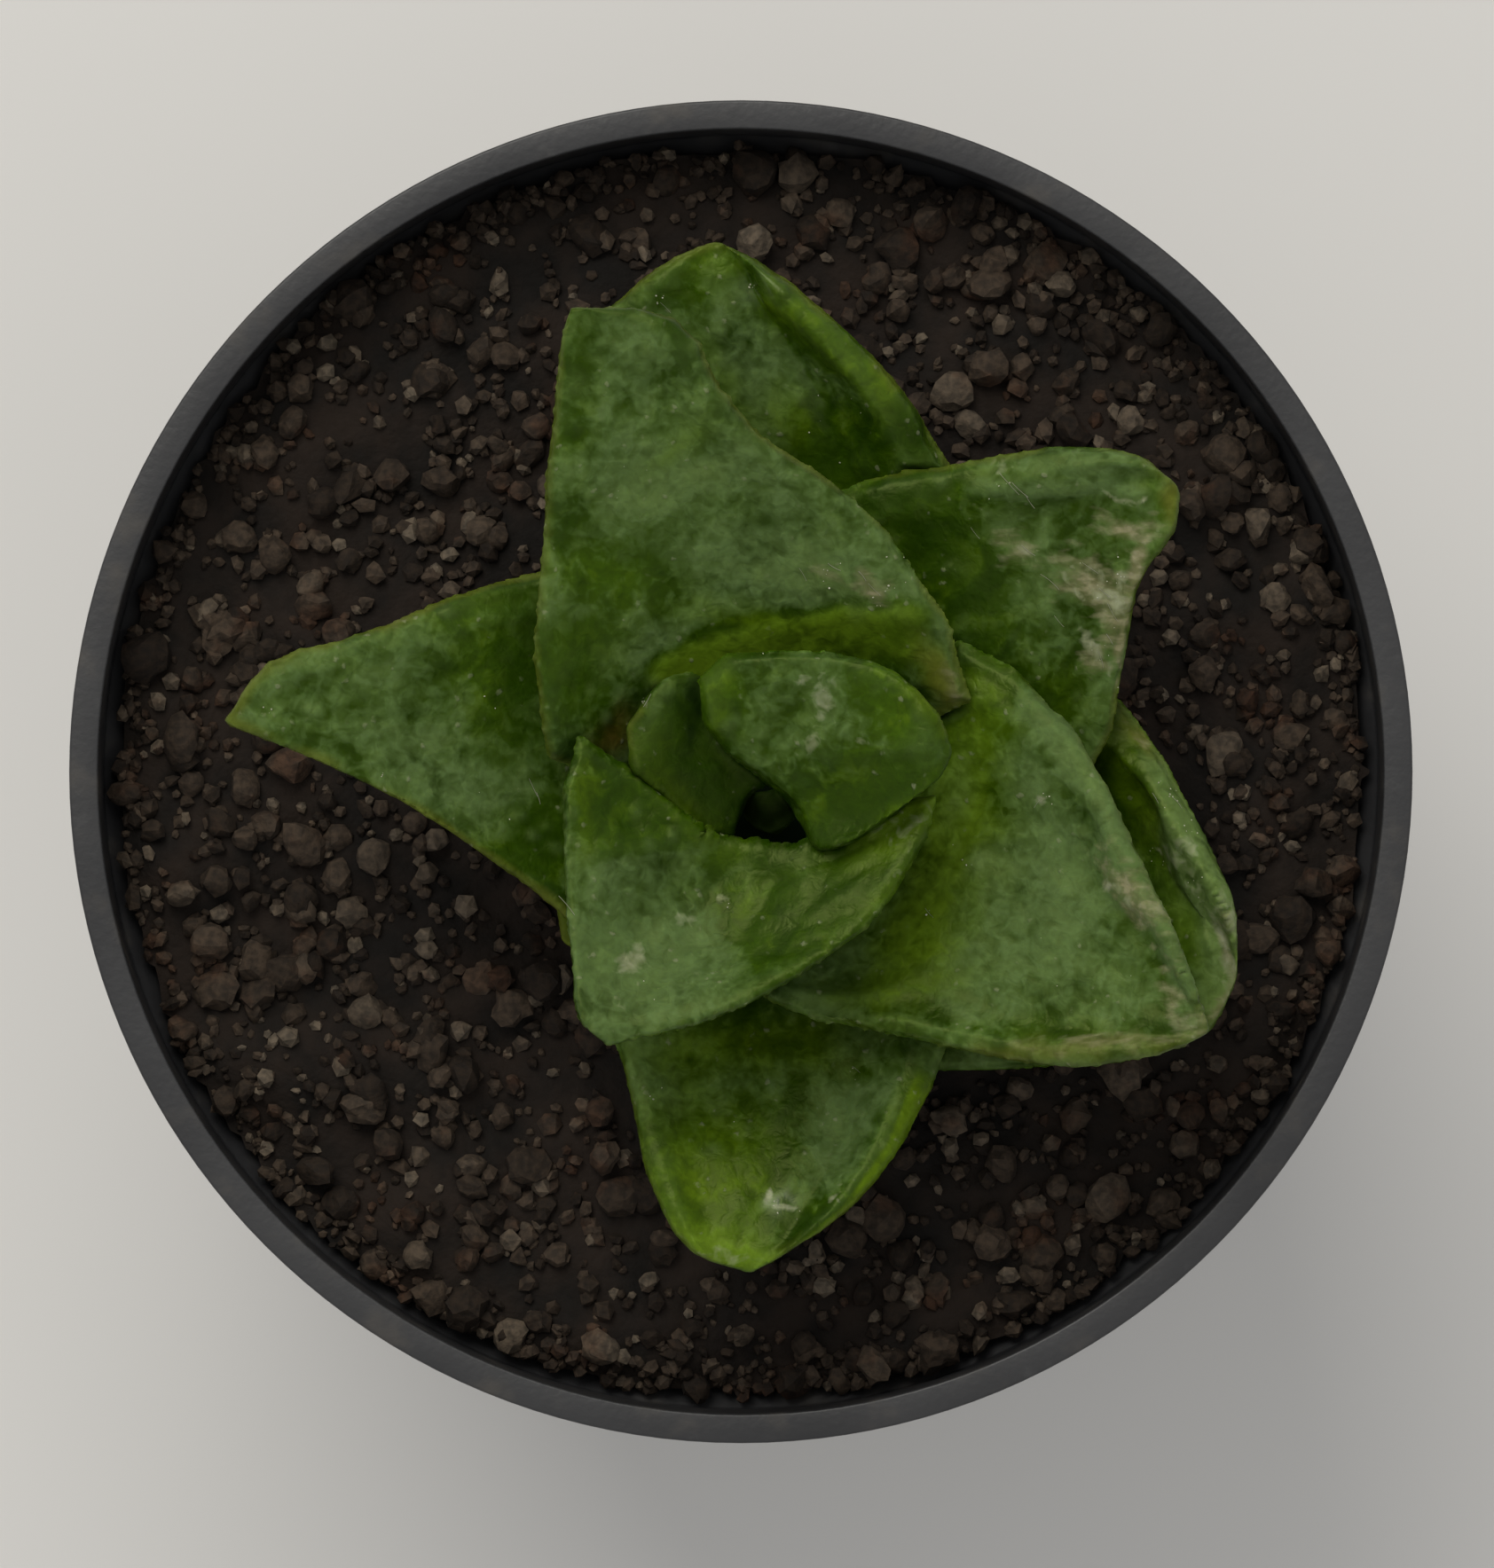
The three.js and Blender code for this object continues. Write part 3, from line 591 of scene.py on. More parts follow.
        "bright": [(1290, 825, 0.9, 0.4, -50, 0.7), (1388, 1080, 2.4, 0.4, -85, 0.6),
            (1300, 930, 2.4, 0.6, -66, 0.9)],
        "yellow": [(1291, 828, 1, 0.4, -55, 0.6)],
        # Painted light on the outer strip, which lies in the next leaf's shade
        "bump": [(1352, 985, 3, 0.9, -68, 1.2), (1380, 1060, 3.4, 0.9, -80, 1.3)],
        "pale": [(1345, 975, 2.6, 0.5, -66, 0.45), (1386, 1070, 2.6, 0.5, -84, 0.75),
            (1307, 968, 0.4, 0.2, -30, 0.8), (1322, 985, 0.3, 0.15, -50, 0.5)],
        "limeAndPaintedLight": [(1345, 1050, 2.2, 0.5, -72, 0.5)]},
    "leaf_12": {
        "bright": [(640, 1050, 1.6, 0.9, 90, 1.3)]},
}
patchKinds = (
    "bloom", "green", "bright", "limeAndPaintedLight", "bump", "deepGreenAndShade", "paintedShadow", "olive", "brown", "yellow", "pale",
    "dry", "gloss")

leafNodes = sorted(name for name in frame["nodes"] if name.startswith("leaf_"))


# One search tree of several CAD nodes
def treeOf(nodes):
    corners, faces = [], []
    for name in nodes:
        mesh = frame["nodes"][name].data
        mesh.calc_loop_triangles()
        start = len(corners)
        corners.extend(vertex.co.copy() for vertex in mesh.vertices)
        faces.extend(tuple(i + start for i in face.vertices) for face in mesh.loop_triangles)
    return BVHTree.FromPolygons(corners, faces)


# How near a point lies to the free margins: 1 on them, 0 from `rimWidth` on
def rimShare(points, normals, others):
    reach = leafShape["coverReach"] * mm
    walls = [
        int(index) for index in np.flatnonzero(np.abs(normals[:, 2]) < leafShape["wallNormal"])
        if others.ray_cast(Vector(points[index]), Vector((0, 0, 1)), reach)[0] is None]
    tree = KDTree(len(walls))
    for index in walls:
        tree.insert(Vector(points[index]), index)
    tree.balance()
    away = np.array([tree.find(Vector(point))[2] for point in points])
    return 1 - fade(away, 0, leafShape["rimWidth"] * mm)


# How close a point on the upper face lies to a leaf that covers it, which sets the painted shade and lost
# bloom there: 1 under it, 0 from the reach in leafShape on
def tuckShadeShare(points, upper, others):
    reach = leafShape["tuckShadeReach"] * mm
    share = np.zeros(len(points))
    for index in np.flatnonzero(upper > 0.2):
        near, _, _, away = others.find_nearest(Vector(points[index]), reach)
        if near and near.z > points[index, 2] + leafShape["tuckShadeStep"] * mm:
            share[index] = 1 - away / reach
    return share


# Where points lie beside a line drawn on the photograph: the distance, the side and the share along it
def besideLine(points, line):
    spots = [np.array(atPixel(*spot)) for spot in line]
    lengths = [np.linalg.norm(end - start) for start, end in zip(spots, spots[1:])]
    nearest = np.full(len(points), np.inf)
    side = np.zeros(len(points))
    along = np.zeros(len(points))
    done = 0
    for start, end, length in zip(spots, spots[1:], lengths):
        step = (end - start) / length
        away = points[:, :2] - start
        share = np.clip(away @ step, 0, length)
        away = away - share[:, None] * step
        distance = np.linalg.norm(away, axis=1)
        closer = distance < nearest
        nearest[closer] = distance[closer]
        side[closer] = np.sign(step[0] * away[:, 1] - step[1] * away[:, 0])[closer]
        along[closer] = (done + share[closer]) / sum(lengths)
        done += length
    return nearest, side, along


# Leaves lie against each other, so a face close to another leaf swells to meet it
def settled(points, others):
    reach = leafShape["settleReach"] * mm
    most = leafShape["settle"] * mm
    swell = np.zeros(len(points))
    for index, point in enumerate(points):
        away = others.find_nearest(Vector(point), reach)[3]
        if away is not None:
            swell[index] = min(most * (1 - away / reach) * 2, most, away * leafShape["settleShare"])
    return swell


# A point's place in its leaf's own frame: along the leaf, across it and up
def leafPlace(points, nodeName):
    low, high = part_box(nodeName)
    middle = Vector(((low[0] + high[0]) / 2, (low[1] + high[1]) / 2))
    ahead = np.array((middle - growthAxis).normalized())
    away = points[:, :2] - np.array(growthAxis)
    across = away @ np.array((-ahead[1], ahead[0]))
    return np.stack([away @ ahead, across, points[:, 2]], axis=1)


# The height of the folds in mm, and each kind of tone from 0 to 1, with ragged edges
def foldsAndTones(points, nodeName):
    shape = leafShape
    lift = np.zeros(len(points))
    tones = {kind: np.zeros(len(points)) for kind in patchKinds}
    warp = np.stack([lumps(points, shape["raggedSize"] * mm, seed) for seed in (31, 32)], axis=1)
    warped = points[:, :2] + warp * shape["raggedShift"] * mm
    wobble = 1 + shape["wobble"] * lumps(points, shape["wobbleSize"] * mm, 41)
    for fold in leafFolds.get(nodeName, []):
        nearest, side, along = besideLine(points, fold["line"])
        ends = fade(along, 0, shape["foldEnd"]) * (1 - fade(along, 1 - shape["foldEnd"], 1))
        slope = np.where(side > 0, *fold["slopes"]) * mm * wobble
        lift += fold["height"] * np.clip(1 - nearest / slope, 0, 1) ** 1.5 * ends
        for kind, left, right, strength in fold["paint"]:
            reach = (np.where(side > 0, left, right) + 0.01) * mm * wobble
            share = strength * fade(nearest, reach, 0.25 * reach) * ends
            tones[kind] = np.maximum(tones[kind], share)
    for kind, patches in leafPatches.get(nodeName, {}).items():
        for x, y, halfLength, halfWidth, turn, strength in patches:
            away = warped - np.array(atPixel(x, y))
            angle = math.radians(turn)
            along = away[:, 0] * math.cos(angle) + away[:, 1] * math.sin(angle)
            across = away[:, 1] * math.cos(angle) - away[:, 0] * math.sin(angle)
            reach = (along / (halfLength * mm)) ** 2 + (across / (halfWidth * mm)) ** 2
            tones[kind] = np.maximum(tones[kind], strength * np.exp(-reach))
    return lift, tones


def makeLeaf(nodeName):
    bumpy, toothed, bloomed, rimmed, shaded = leafLooks[nodeName]
    shape = leafShape
    others = treeOf([name for name in leafNodes if name != nodeName])
    piece = copyNode(nodeName, "blade" + nodeName[-2:])
    addModifier(piece, "REMESH", mode="VOXEL", voxel_size=shape["voxel"] * mm)
    dropCrumbs(piece)
    mesh = piece.data
    relax(mesh, shape["rounds"])
    points = readPoints(mesh)
    normals = readNormals(mesh)
    rim = rimShare(points, normals, others)
    upper = fade(normals[:, 2], 0.0, 0.5)
    tuckShade = tuckShadeShare(points, upper, others)
    seed = int(nodeName[-2:]) * 10
    place = leafPlace(points, nodeName)
    mean = neighbourMean(mesh)

    folds, tones = foldsAndTones(points, nodeName)
    for _ in range(shape["foldSoftness"]):
        folds = mean(folds)
    lift = folds * upper + settled(points, others) / mm
    stretched = place * np.array((shape["stretch"], 1, 1))
    under = shape["undersideShare"]
    for step, (size, height) in enumerate(shape["undulation"]):
        lift += height * lumps(stretched, size * mm, seed + step) * (under + (1 - under) * upper)
    flat = place * np.array((shape["stretch"], 1, shape["flatness"]))
    bumps = 1 - fade(cells(flat, shape["bumpSpacing"] * mm, seed + 4), 0, shape["bumpRadius"] * mm)
    bumps *= bumpy * fade(lumps(points, shape["bumpPatches"] * mm, seed + 5), -0.5, 0.5)
    lift += shape["bumpHeight"] * bumps
    teeth = 1 - fade(cells(points, shape["toothSpacing"] * mm, seed + 6), 0, shape["toothRadius"] * mm)
    teeth *= toothed * fade(rim, 0.55, 0.95)
    lift += shape["toothHeight"] * teeth
    points += normals * lift[:, None] * mm
    writePoints(mesh, points)

    ground = points
    for _ in range(shape["ridgeRounds"]):
        ground = mean(ground)
    above = np.einsum("ij,ij->i", points - ground, normals)
    ridge = mean(mean(above / (shape["ridgeHeight"] * mm) * (1 - fade(rim, 0.2, 0.8))))
    rim = rim * rimmed * fade(lumps(points, shape["rimPatches"] * mm, seed + 7), -1, 0.2)
    shade = np.full(len(points), shaded)
    tones["bloom"] += bloomed
    marks = {
        "rim": rim, "place": place, "bumps": bumps, "teeth": teeth, "ridge": ridge, "tuckShade": tuckShade,
        "shade": shade, **{kind: share * upper for kind, share in tones.items()}}
    for name, values in marks.items():
        writeAttribute(mesh, name, values)
    coat(piece, leafSkin)
    pick(piece)
    bpy.ops.object.shade_smooth()
    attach(piece, "root")
    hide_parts(nodeName)
    return piece


# Skin colours: the deep green also serves as painted shade, the dark and shade ones are painted shade, and
# the lime one is partly painted light
leafColours = {
    "deepGreenAndShade": (0.01, 0.028, 0.0002),
    "paintedShadow": (0.003, 0.012, 0.0004),
    "green": (0.027, 0.061, 0.0008),
    "bright": (0.064, 0.112, 0.0015),
    "limeAndPaintedLight": (0.084, 0.145, 0.007),
    "bloom": (0.07, 0.113, 0.035),
    "olive": (0.042, 0.072, 0.0003),
    "brown": (0.05, 0.034, 0.003),
    "bump": (0.088, 0.138, 0.036),
    "pale": (0.2, 0.215, 0.125),
    "dry": (0.12, 0.12, 0.055),
    "straw": (0.19, 0.18, 0.1),
    "yellow": (0.078, 0.092, 0.01),
    "tooth": (0.1, 0.12, 0.034),
    "shade": (0.002, 0.008, 0.0005),
}


def leafSkinNodes(tree):
    colours = leafColours
    broad = noise(tree, 4.2, 2, shift=1)
    blots = noise(tree, 1.6, 3, (0.8, 1, 1), shift=3, along="place", distortion=0.7)
    small = noise(tree, 0.55, 2, shift=7, distortion=0.5)
    patchy = noise(tree, 0.85, 1, shift=11, distortion=1.2).step(0.42, 0.6)
    fine = noise(tree, 0.22, 2, shift=9)
    flecksAndGlints = 1 - (voronoi(tree, 0.7) + (fine - 0.5) * 0.5).step(0.05, 0.2)
    tuckShade = attribute(tree, "tuckShade")
    ridge = attribute(tree, "ridge")
    colour = mix((broad * 0.4 + blots * 0.6).step(0.36, 0.58), colours["deepGreenAndShade"], colours["green"])
    colour = mix((blots * 0.6 + small * 0.4).step(0.5, 0.66) * 0.6, colour, colours["bright"])
    # Skin close under a covering leaf: painted shade here, and less bloom below
    colour = mix(tuckShade.step(0.1, 0.9) * 0.4, colour, colours["deepGreenAndShade"])
    uneven = (broad - 0.5) * 1.5 + (blots - 0.5) * 2.1 + (small - 0.5) * 1.2 + (patchy - 0.5) * 0.22
    bloom = (attribute(tree, "bloom") + uneven - attribute(tree, "green")).clamp()
    colour = mix((bloom * (1 - tuckShade)).clamp() * 0.85, colour, colours["bloom"])
    colour = mix(attribute(tree, "bumps") * 0.6, colour, colours["bump"])
    # Raised parts lighten towards the bloom as a painted highlight, hollows darken as painted shade
    colour = mix(ridge.clamp() * 0.2, colour, colours["bloom"])
    colour = mix((ridge * -0.5).clamp() * 0.6, colour, colours["deepGreenAndShade"])
    ragged = (blots - 0.5) * 1.8 + (small - 0.5) * 1.6 + 1
    # Painted tones by kind: the dark one is painted shadow, the deep green one partly painted shade, the
    # lime one and some bright ones partly painted light
    for kind in ("bright", "limeAndPaintedLight", "bump", "deepGreenAndShade", "paintedShadow", "olive", "brown"):
        colour = mix((attribute(tree, kind) * ragged).clamp() * 0.9, colour, colours[kind])
    streaks = noise(tree, 0.4, 3, (0.3, 1, 1), math.radians(50), 5)
    scratched = bloom.step(0.4, 0.9) * streaks.step(0.55, 0.75) * 0.35
    colour = mix(scratched, colour, colours["bump"])
    dry = (attribute(tree, "dry") * 1.5 + (streaks - 0.5) * 1.8 - 0.4).clamp()
    dryTone = mix(streaks.step(0.46, 0.62), colours["dry"], colours["straw"])
    colour = mix(dry * attribute(tree, "dry").step(0.02, 0.2), colour, dryTone)
    # Pale patches: mostly the skin's own, a few are painted glints and painted light
    pale = (attribute(tree, "pale") * 1.6 + (small - 0.5) * 2.2 - 0.5).clamp()
    colour = mix(pale * attribute(tree, "pale").step(0.02, 0.2), colour, colours["pale"])
    # A yellow line along the free margins: partly their own colour, partly a painted glow of light through
    # the thin flesh
    line = attribute(tree, "rim").step(0.25, 0.95) * 0.75 - attribute(tree, "deepGreenAndShade") * 0.6
    line = (line.clamp() + attribute(tree, "yellow")).clamp()
    colour = mix(line, colour, colours["yellow"])
    colour = mix(attribute(tree, "teeth") * 0.35, colour, colours["tooth"])
    colour = mix(attribute(tree, "shade"), colour, colours["shade"])
    for layer, depth in ((fine.step(0.3, 0.7), 0.06), (small.step(0.36, 0.64), 0.09), (patchy, 0.06)):
        dim = (1 - depth, 1 - depth, 1 - depth * 1.3)
        lit = (1 + depth, 1 + depth, 1 + depth * 1.3)
        colour = mix(1.0, colour, mix(layer, dim, lit), "MULTIPLY")
    # Small raised pale flecks: partly the skin's own dots, partly painted glints
    flecksAndGlints = flecksAndGlints * blots.step(0.45, 0.6) * (1 - attribute(tree, "shade"))
    colour = mix(flecksAndGlints * 0.45, colour, colours["pale"])
    roughness = 0.38 + bloom * 0.16 + (small - 0.5) * 0.3 - attribute(tree, "gloss") * 0.2
    roughness = roughness + attribute(tree, "shade") * 0.5
    skin = bump(fine * 0.5 + flecksAndGlints, 0.02)
    skin = bump(small, 0.06, skin)
    return {
        "Base Color": colour, "Roughness": roughness, "Coat Weight": attribute(tree, "gloss") * 0.8,
        "Normal": skin}


leafSkin = newMaterial(
    "leafSkin", leafSkinNodes,
    Specular_IOR_Level=0.28, Specular_Tint=(0.75, 0.9, 0.3, 1), Subsurface_Weight=0.22,
    Subsurface_Scale=0.8 * mm, Subsurface_Radius=(0.7, 1.0, 0.2), IOR=1.42, Coat_Roughness=0.2)

blades = [makeLeaf(name) for name in leafNodes]
print("leaves:", sum(len(piece.data.polygons) for piece in blades), "faces")


# Stem and roots

stemShape = {
    "voxel": 0.3,
    "rounds": 8,
    "grain": (0.9, 0.08),
    "crown": (42, 45),  # from this height to that one the brown turns to near black, a painted shade of the well at the leaves' feet
    "browns": [(0.1, 0.07, 0.035), (0.24, 0.19, 0.1)],
    "rings": (0.03, 0.018, 0.008),
    "wellShade": (0.001, 0.005, 0.0006),
}


def stemNodes(tree):
    shape = stemShape
    broad = noise(tree, 1.6, 4)
    rings = noise(tree, 0.4, 3, (0.3, 0.3, 1.6), 0, 4)
    place = node(tree, "ShaderNodeTexCoord", output=3)
    height = node(tree, "ShaderNodeSeparateXYZ", None, {0: place}, 2)
    low, high = shape["crown"]
    colour = mix(broad.step(0.3, 0.7), *shape["browns"])
    colour = mix(rings.step(0.5, 0.8) * 0.4, colour, shape["rings"])
    # Near black towards the top: painted shade of the well between the leaves
    colour = mix(height.step(low * mm, high * mm), colour, shape["wellShade"])
    return {"Base Color": colour, "Roughness": 0.55 + rings * 0.25, "Normal": bump(rings, 0.12)}


def makeStem():
    piece = copyNode("stem", "stemAndRoots")
    addModifier(piece, "REMESH", mode="VOXEL", voxel_size=stemShape["voxel"] * mm)
    relax(piece.data, stemShape["rounds"])
    points = readPoints(piece.data)
    size, height = stemShape["grain"]
    lift = lumps(points, size * mm, 3) * height * mm
    writePoints(piece.data, points + readNormals(piece.data) * lift[:, None])
    coat(piece, newMaterial("stemSkin", stemNodes, Specular_IOR_Level=0.04))
    pick(piece)
    bpy.ops.object.shade_smooth()
    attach(piece, "root")
    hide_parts("stem")


makeStem()
print("stem done")


# Pot

potShape = {
    "height": 48,
    "rimRadius": 27.5,
    "rimDepth": 6,
    "wall": 1.2,
    "topRadius": 25.8,
    "footRadius": 19.6,
    "ringHeight": 2,
    "ringWidth": 1.6,
    "floor": 1.4,
    "holeRadius": 2.2,
    "holeCircle": 11,
    "holeSides": 32,
    "notchWidth": 5,
    "notchHeight": 1.6,
    "repeats": 4,
    "steps": 160,
    "edge": 0.4,
    "edgeSteps": 4,
    "edgeAngle": 35,
    "smoothAngle": 40,
    "weld": 0.005,
    "plastic": [(0.012, 0.012, 0.013), (0.022, 0.022, 0.023)],
    "dust": (0.08, 0.068, 0.052),
    "scratch": (0.06, 0.06, 0.06),
}


def potProfile():
    shape = potShape
    rimFoot = shape["height"] - shape["rimDepth"]
    floorTop = shape["ringHeight"] + shape["floor"]
    inner = shape["rimRadius"] - shape["wall"]
    return [
        (0, shape["ringHeight"]),
        (shape["footRadius"] - shape["ringWidth"], shape["ringHeight"]),
        (shape["footRadius"] - shape["ringWidth"], 0),
        (shape["footRadius"], 0),
        (shape["topRadius"], rimFoot),
        (shape["rimRadius"], rimFoot),
        (shape["rimRadius"], shape["height"]),
        (inner, shape["height"]),
        (inner, rimFoot + shape["wall"]),
        (shape["topRadius"] - shape["wall"], rimFoot),
        (shape["footRadius"] - shape["wall"], floorTop),
        (0, floorTop),
    ]


def potNodes(tree):
    fine = noise(tree, 0.35, 3)
    broad = noise(tree, 9, 4)
    scratches = noise(tree, 1.2, 5, (1, 1, 0.12), 0, 2)
    dust = noise(tree, 2.2, 6, shift=9)
    colour = mix(broad.step(0.3, 0.7), *potShape["plastic"])
    colour = mix(dust.step(0.54, 0.8) * 0.3, colour, potShape["dust"])
    colour = mix(scratches.step(0.62, 0.8) * 0.25, colour, potShape["scratch"])
    roughness = 0.4 + fine * 0.1 + dust.step(0.45, 0.85) * 0.14
    grain = bump(fine, 0.02, bump(broad, 0.06))
    return {"Base Color": colour, "Roughness": roughness, "Normal": grain}


# The profile is spun round, then drain holes and the notches between them are cut
def makePot():
    shape = potShape
    deselectAll()
    bpy.ops.mesh.primitive_plane_add(size=1)
    pot = bpy.context.object
    pot.name = "nurseryPot"
    shapeAll(pot, (bpy.ops.mesh.delete, {"type": "VERT"}))
    corners = [(x * mm, 0, z * mm) for x, z in potProfile()]
    pot.data.from_pydata(corners, [(i, i + 1) for i in range(len(corners) - 1)], [])
    spin = {"steps": shape["steps"], "angle": 2 * math.pi, "center": (0, 0, 0), "axis": (0, 0, 1)}
    weld = {"threshold": shape["weld"] * mm}
    shapeAll(
        pot, (bpy.ops.mesh.spin, spin), (bpy.ops.mesh.remove_doubles, weld),
        (bpy.ops.mesh.normals_make_consistent, {"inside": False}))
    floorTop = shape["ringHeight"] + shape["floor"]
    notchSize = (4 * shape["ringWidth"] * mm, shape["notchWidth"] * mm, 2 * shape["notchHeight"] * mm)
    cutters = []
    for index in range(shape["repeats"]):
        turn = index * 2 * math.pi / shape["repeats"]
        spot = Vector((math.cos(turn), math.sin(turn), 0)) * shape["holeCircle"] * mm
        deselectAll()
        bpy.ops.mesh.primitive_cylinder_add(
            vertices=shape["holeSides"], radius=shape["holeRadius"] * mm,
            depth=4 * shape["floor"] * mm, location=spot + Vector((0, 0, floorTop * mm)))
        cutters.append(bpy.context.object)
        turn += math.pi / shape["repeats"]
        spot = Vector((math.cos(turn), math.sin(turn), 0)) * shape["footRadius"] * mm
        deselectAll()
        bpy.ops.mesh.primitive_cube_add(
            size=1, location=spot, rotation=(0, 0, turn), scale=notchSize)
        cutters.append(bpy.context.object)
    for cutter in cutters:
        addModifier(pot, "BOOLEAN", object=cutter, operation="DIFFERENCE", solver="EXACT")
    deselectAll()
    for cutter in cutters:
        cutter.select_set(True)
    bpy.ops.object.delete()
    shapeAll(pot, (bpy.ops.mesh.remove_doubles, weld))
    addModifier(
        pot, "BEVEL", width=shape["edge"] * mm, segments=shape["edgeSteps"],
        limit_method="ANGLE", angle_limit=math.radians(shape["edgeAngle"]))
    coat(pot, newMaterial("mouldedPlastic", potNodes, Specular_IOR_Level=0.45))
    pick(pot)
    bpy.ops.object.shade_smooth_by_angle(angle=math.radians(shape["smoothAngle"]))
    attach(pot, "root")
    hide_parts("pot")


makePot()
print("pot done")


# Soil

soilShape = {
    "voxel": 0.7,
    "rounds": 3,
    "lumps": [(3.0, 0.3), (1.2, 0.2)],
    "sink": 0.25,
    "radius": 26.15,
    "calmEdge": (25.2, 25.9),  # the bed gets smooth between these radii
    "top": 44,
    "skirt": (1.5, 0.5),  # the lumps set in between these depths below the top
    "lowest": 1.6,  # no grain lies deeper below the top than this
    "leafRoom": 0.3,
    "above": 60,  # where the rays down to the bed start
    "smoothAngle": 30,
    "seed": 11,
    "bed": [(0.004, 0.003, 0.002), (0.014, 0.009, 0.006)],
    "grains": [(0.012, 0.008, 0.005), (0.04, 0.029, 0.02)],
    "paleGrain": (0.1, 0.082, 0.06),
    "redGrain": (0.045, 0.02, 0.01),
}

# Grains: how many are strewn, their radius in mm, how pale they are, how finely they are cut and how
# near the middle they may lie
soilGrains = [
    {"count": 520, "sizes": (0.6, 1.15), "tones": (0.1, 0.75), "cuts": 2, "nearest": 0},
    {"count": 4300, "sizes": (0.24, 0.6), "tones": (0.05, 0.8), "cuts": 1, "nearest": 0},
    {"count": 1000, "sizes": (0.22, 0.5), "tones": (0.05, 0.7), "cuts": 1, "nearest": 24.6},
]


def soilNodes(tree):
    tone = attribute(tree, "tone")
    fine = noise(tree, 0.35, 5)
    broad = noise(tree, 2.5, 4)
    bed = mix(broad.step(0.3, 0.7), *soilShape["bed"])
    grain = mix(tone.step(0.1, 0.6), *soilShape["grains"])
    grain = mix(tone.step(0.6, 0.85), grain, soilShape["paleGrain"])
    grain = mix(broad.step(0.55, 0.7) * 0.5, grain, soilShape["redGrain"])
    speckle = mix(fine.step(0.3, 0.7), (0.6, 0.6, 0.6), (1.35, 1.3, 1.25))
    grain = mix(1.0, grain, speckle, "MULTIPLY")
    colour = mix(tone.math("GREATER_THAN", 0.01), bed, grain)
    return {"Base Color": colour, "Roughness": 0.8 + fine * 0.15, "Normal": bump(fine, 0.1)}


# Rough little stones on the ground below them, sunk in a little, as one mesh
def strew(name, kinds, seed, placeOne):
    draw = random.Random(seed)
    allCorners, allFaces, tones = [], [], []
    for kind in kinds:
        deselectAll()
        bpy.ops.mesh.primitive_ico_sphere_add(subdivisions=kind["cuts"], radius=1)
        model = bpy.context.object
        corners = readPoints(model.data)
        ends = [tuple(face.vertices) for face in model.data.polygons]
        bpy.data.objects.remove(model)
        for _ in range(kind["count"]):
            low, high = kind["sizes"]
            size = low + (high - low) * draw.random() ** 2
            tilt = np.array([[draw.gauss(0, 1) for _ in range(3)] for _ in range(3)])
            tilt = np.linalg.qr(tilt)[0] * np.array([draw.uniform(0.55, 1.0) for _ in range(3)])
            tone = draw.uniform(*kind["tones"])
            shift = draw.uniform(0, 90)
            heart = placeOne(draw, kind, size)
            if heart is None:
                continue
            wobble = 1 + 0.3 * lumps(corners * 2 + shift, 1.1, 5)
            shaped = (corners * wobble[:, None]) @ tilt.T * size * mm + np.array(heart)
            start = len(allCorners)
            allCorners.extend(map(tuple, shaped))
            allFaces.extend(tuple(i + start for i in face) for face in ends)
            tones.extend([tone] * len(corners))
    mesh = bpy.data.meshes.new(name)
    mesh.from_pydata(allCorners, [], allFaces)
    writeAttribute(mesh, "tone", tones)
    piece = newObject(name, mesh)
    shapeAll(piece, (bpy.ops.mesh.normals_make_consistent, {"inside": False}))
    return piece


def makeSoil():
    shape = soilShape
    bed = copyNode("soil", "grittySoil")
    addModifier(bed, "REMESH", mode="VOXEL", voxel_size=shape["voxel"] * mm)
    relax(bed.data, shape["rounds"])
    points = readPoints(bed.data)
    top = fade(points[:, 2], *((shape["top"] - depth) * mm for depth in shape["skirt"]))
    calm, wall = shape["calmEdge"]
    top *= 1 - fade(np.linalg.norm(points[:, :2], axis=1), calm * mm, wall * mm)
    lift = np.zeros(len(points))
    for step, (size, height) in enumerate(shape["lumps"]):
        lift += height * lumps(points, size * mm, shape["seed"] + step)
    points[:, 2] += (lift - shape["sink"]) * top * mm
    writePoints(bed.data, points)
    writeAttribute(bed.data, "tone", np.zeros(len(points)))
    surface = BVHTree.FromObject(bed, bpy.context.evaluated_depsgraph_get())

    def onBed(draw, kind, size):
        away = math.sqrt(draw.uniform(kind["nearest"] ** 2, shape["radius"] ** 2))
        turn = draw.uniform(0, 2 * math.pi)
        away = min(away, shape["radius"] - size)
        above = Vector((away * math.cos(turn) * mm, away * math.sin(turn) * mm, shape["above"] * mm))
        ground = surface.ray_cast(above, Vector((0, 0, -1)))[0]
        if ground is None or ground.z < (shape["top"] - shape["lowest"]) * mm:
            return None
        heart = ground + Vector((0, 0, size * draw.uniform(0.0, 0.45) * mm))
        near = plantTree.find_nearest(heart, (size + shape["leafRoom"]) * mm)[0]
        return None if near else heart

    grains = strew("grains", soilGrains, shape["seed"], onBed)
    piece = joinAll("grittySoil", [bed, grains])
    coat(piece, newMaterial("soilMix", soilNodes, Specular_IOR_Level=0.2))
    pick(piece)
    bpy.ops.object.shade_smooth_by_angle(angle=math.radians(shape["smoothAngle"]))
    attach(piece, "root")
    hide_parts("soil")
    print("soil:", len(piece.data.polygons), "faces")


plantTree = treeOf(leafNodes + ["stem"])
makeSoil()


# Lint, and pale specks of dust and painted glints on the leaves

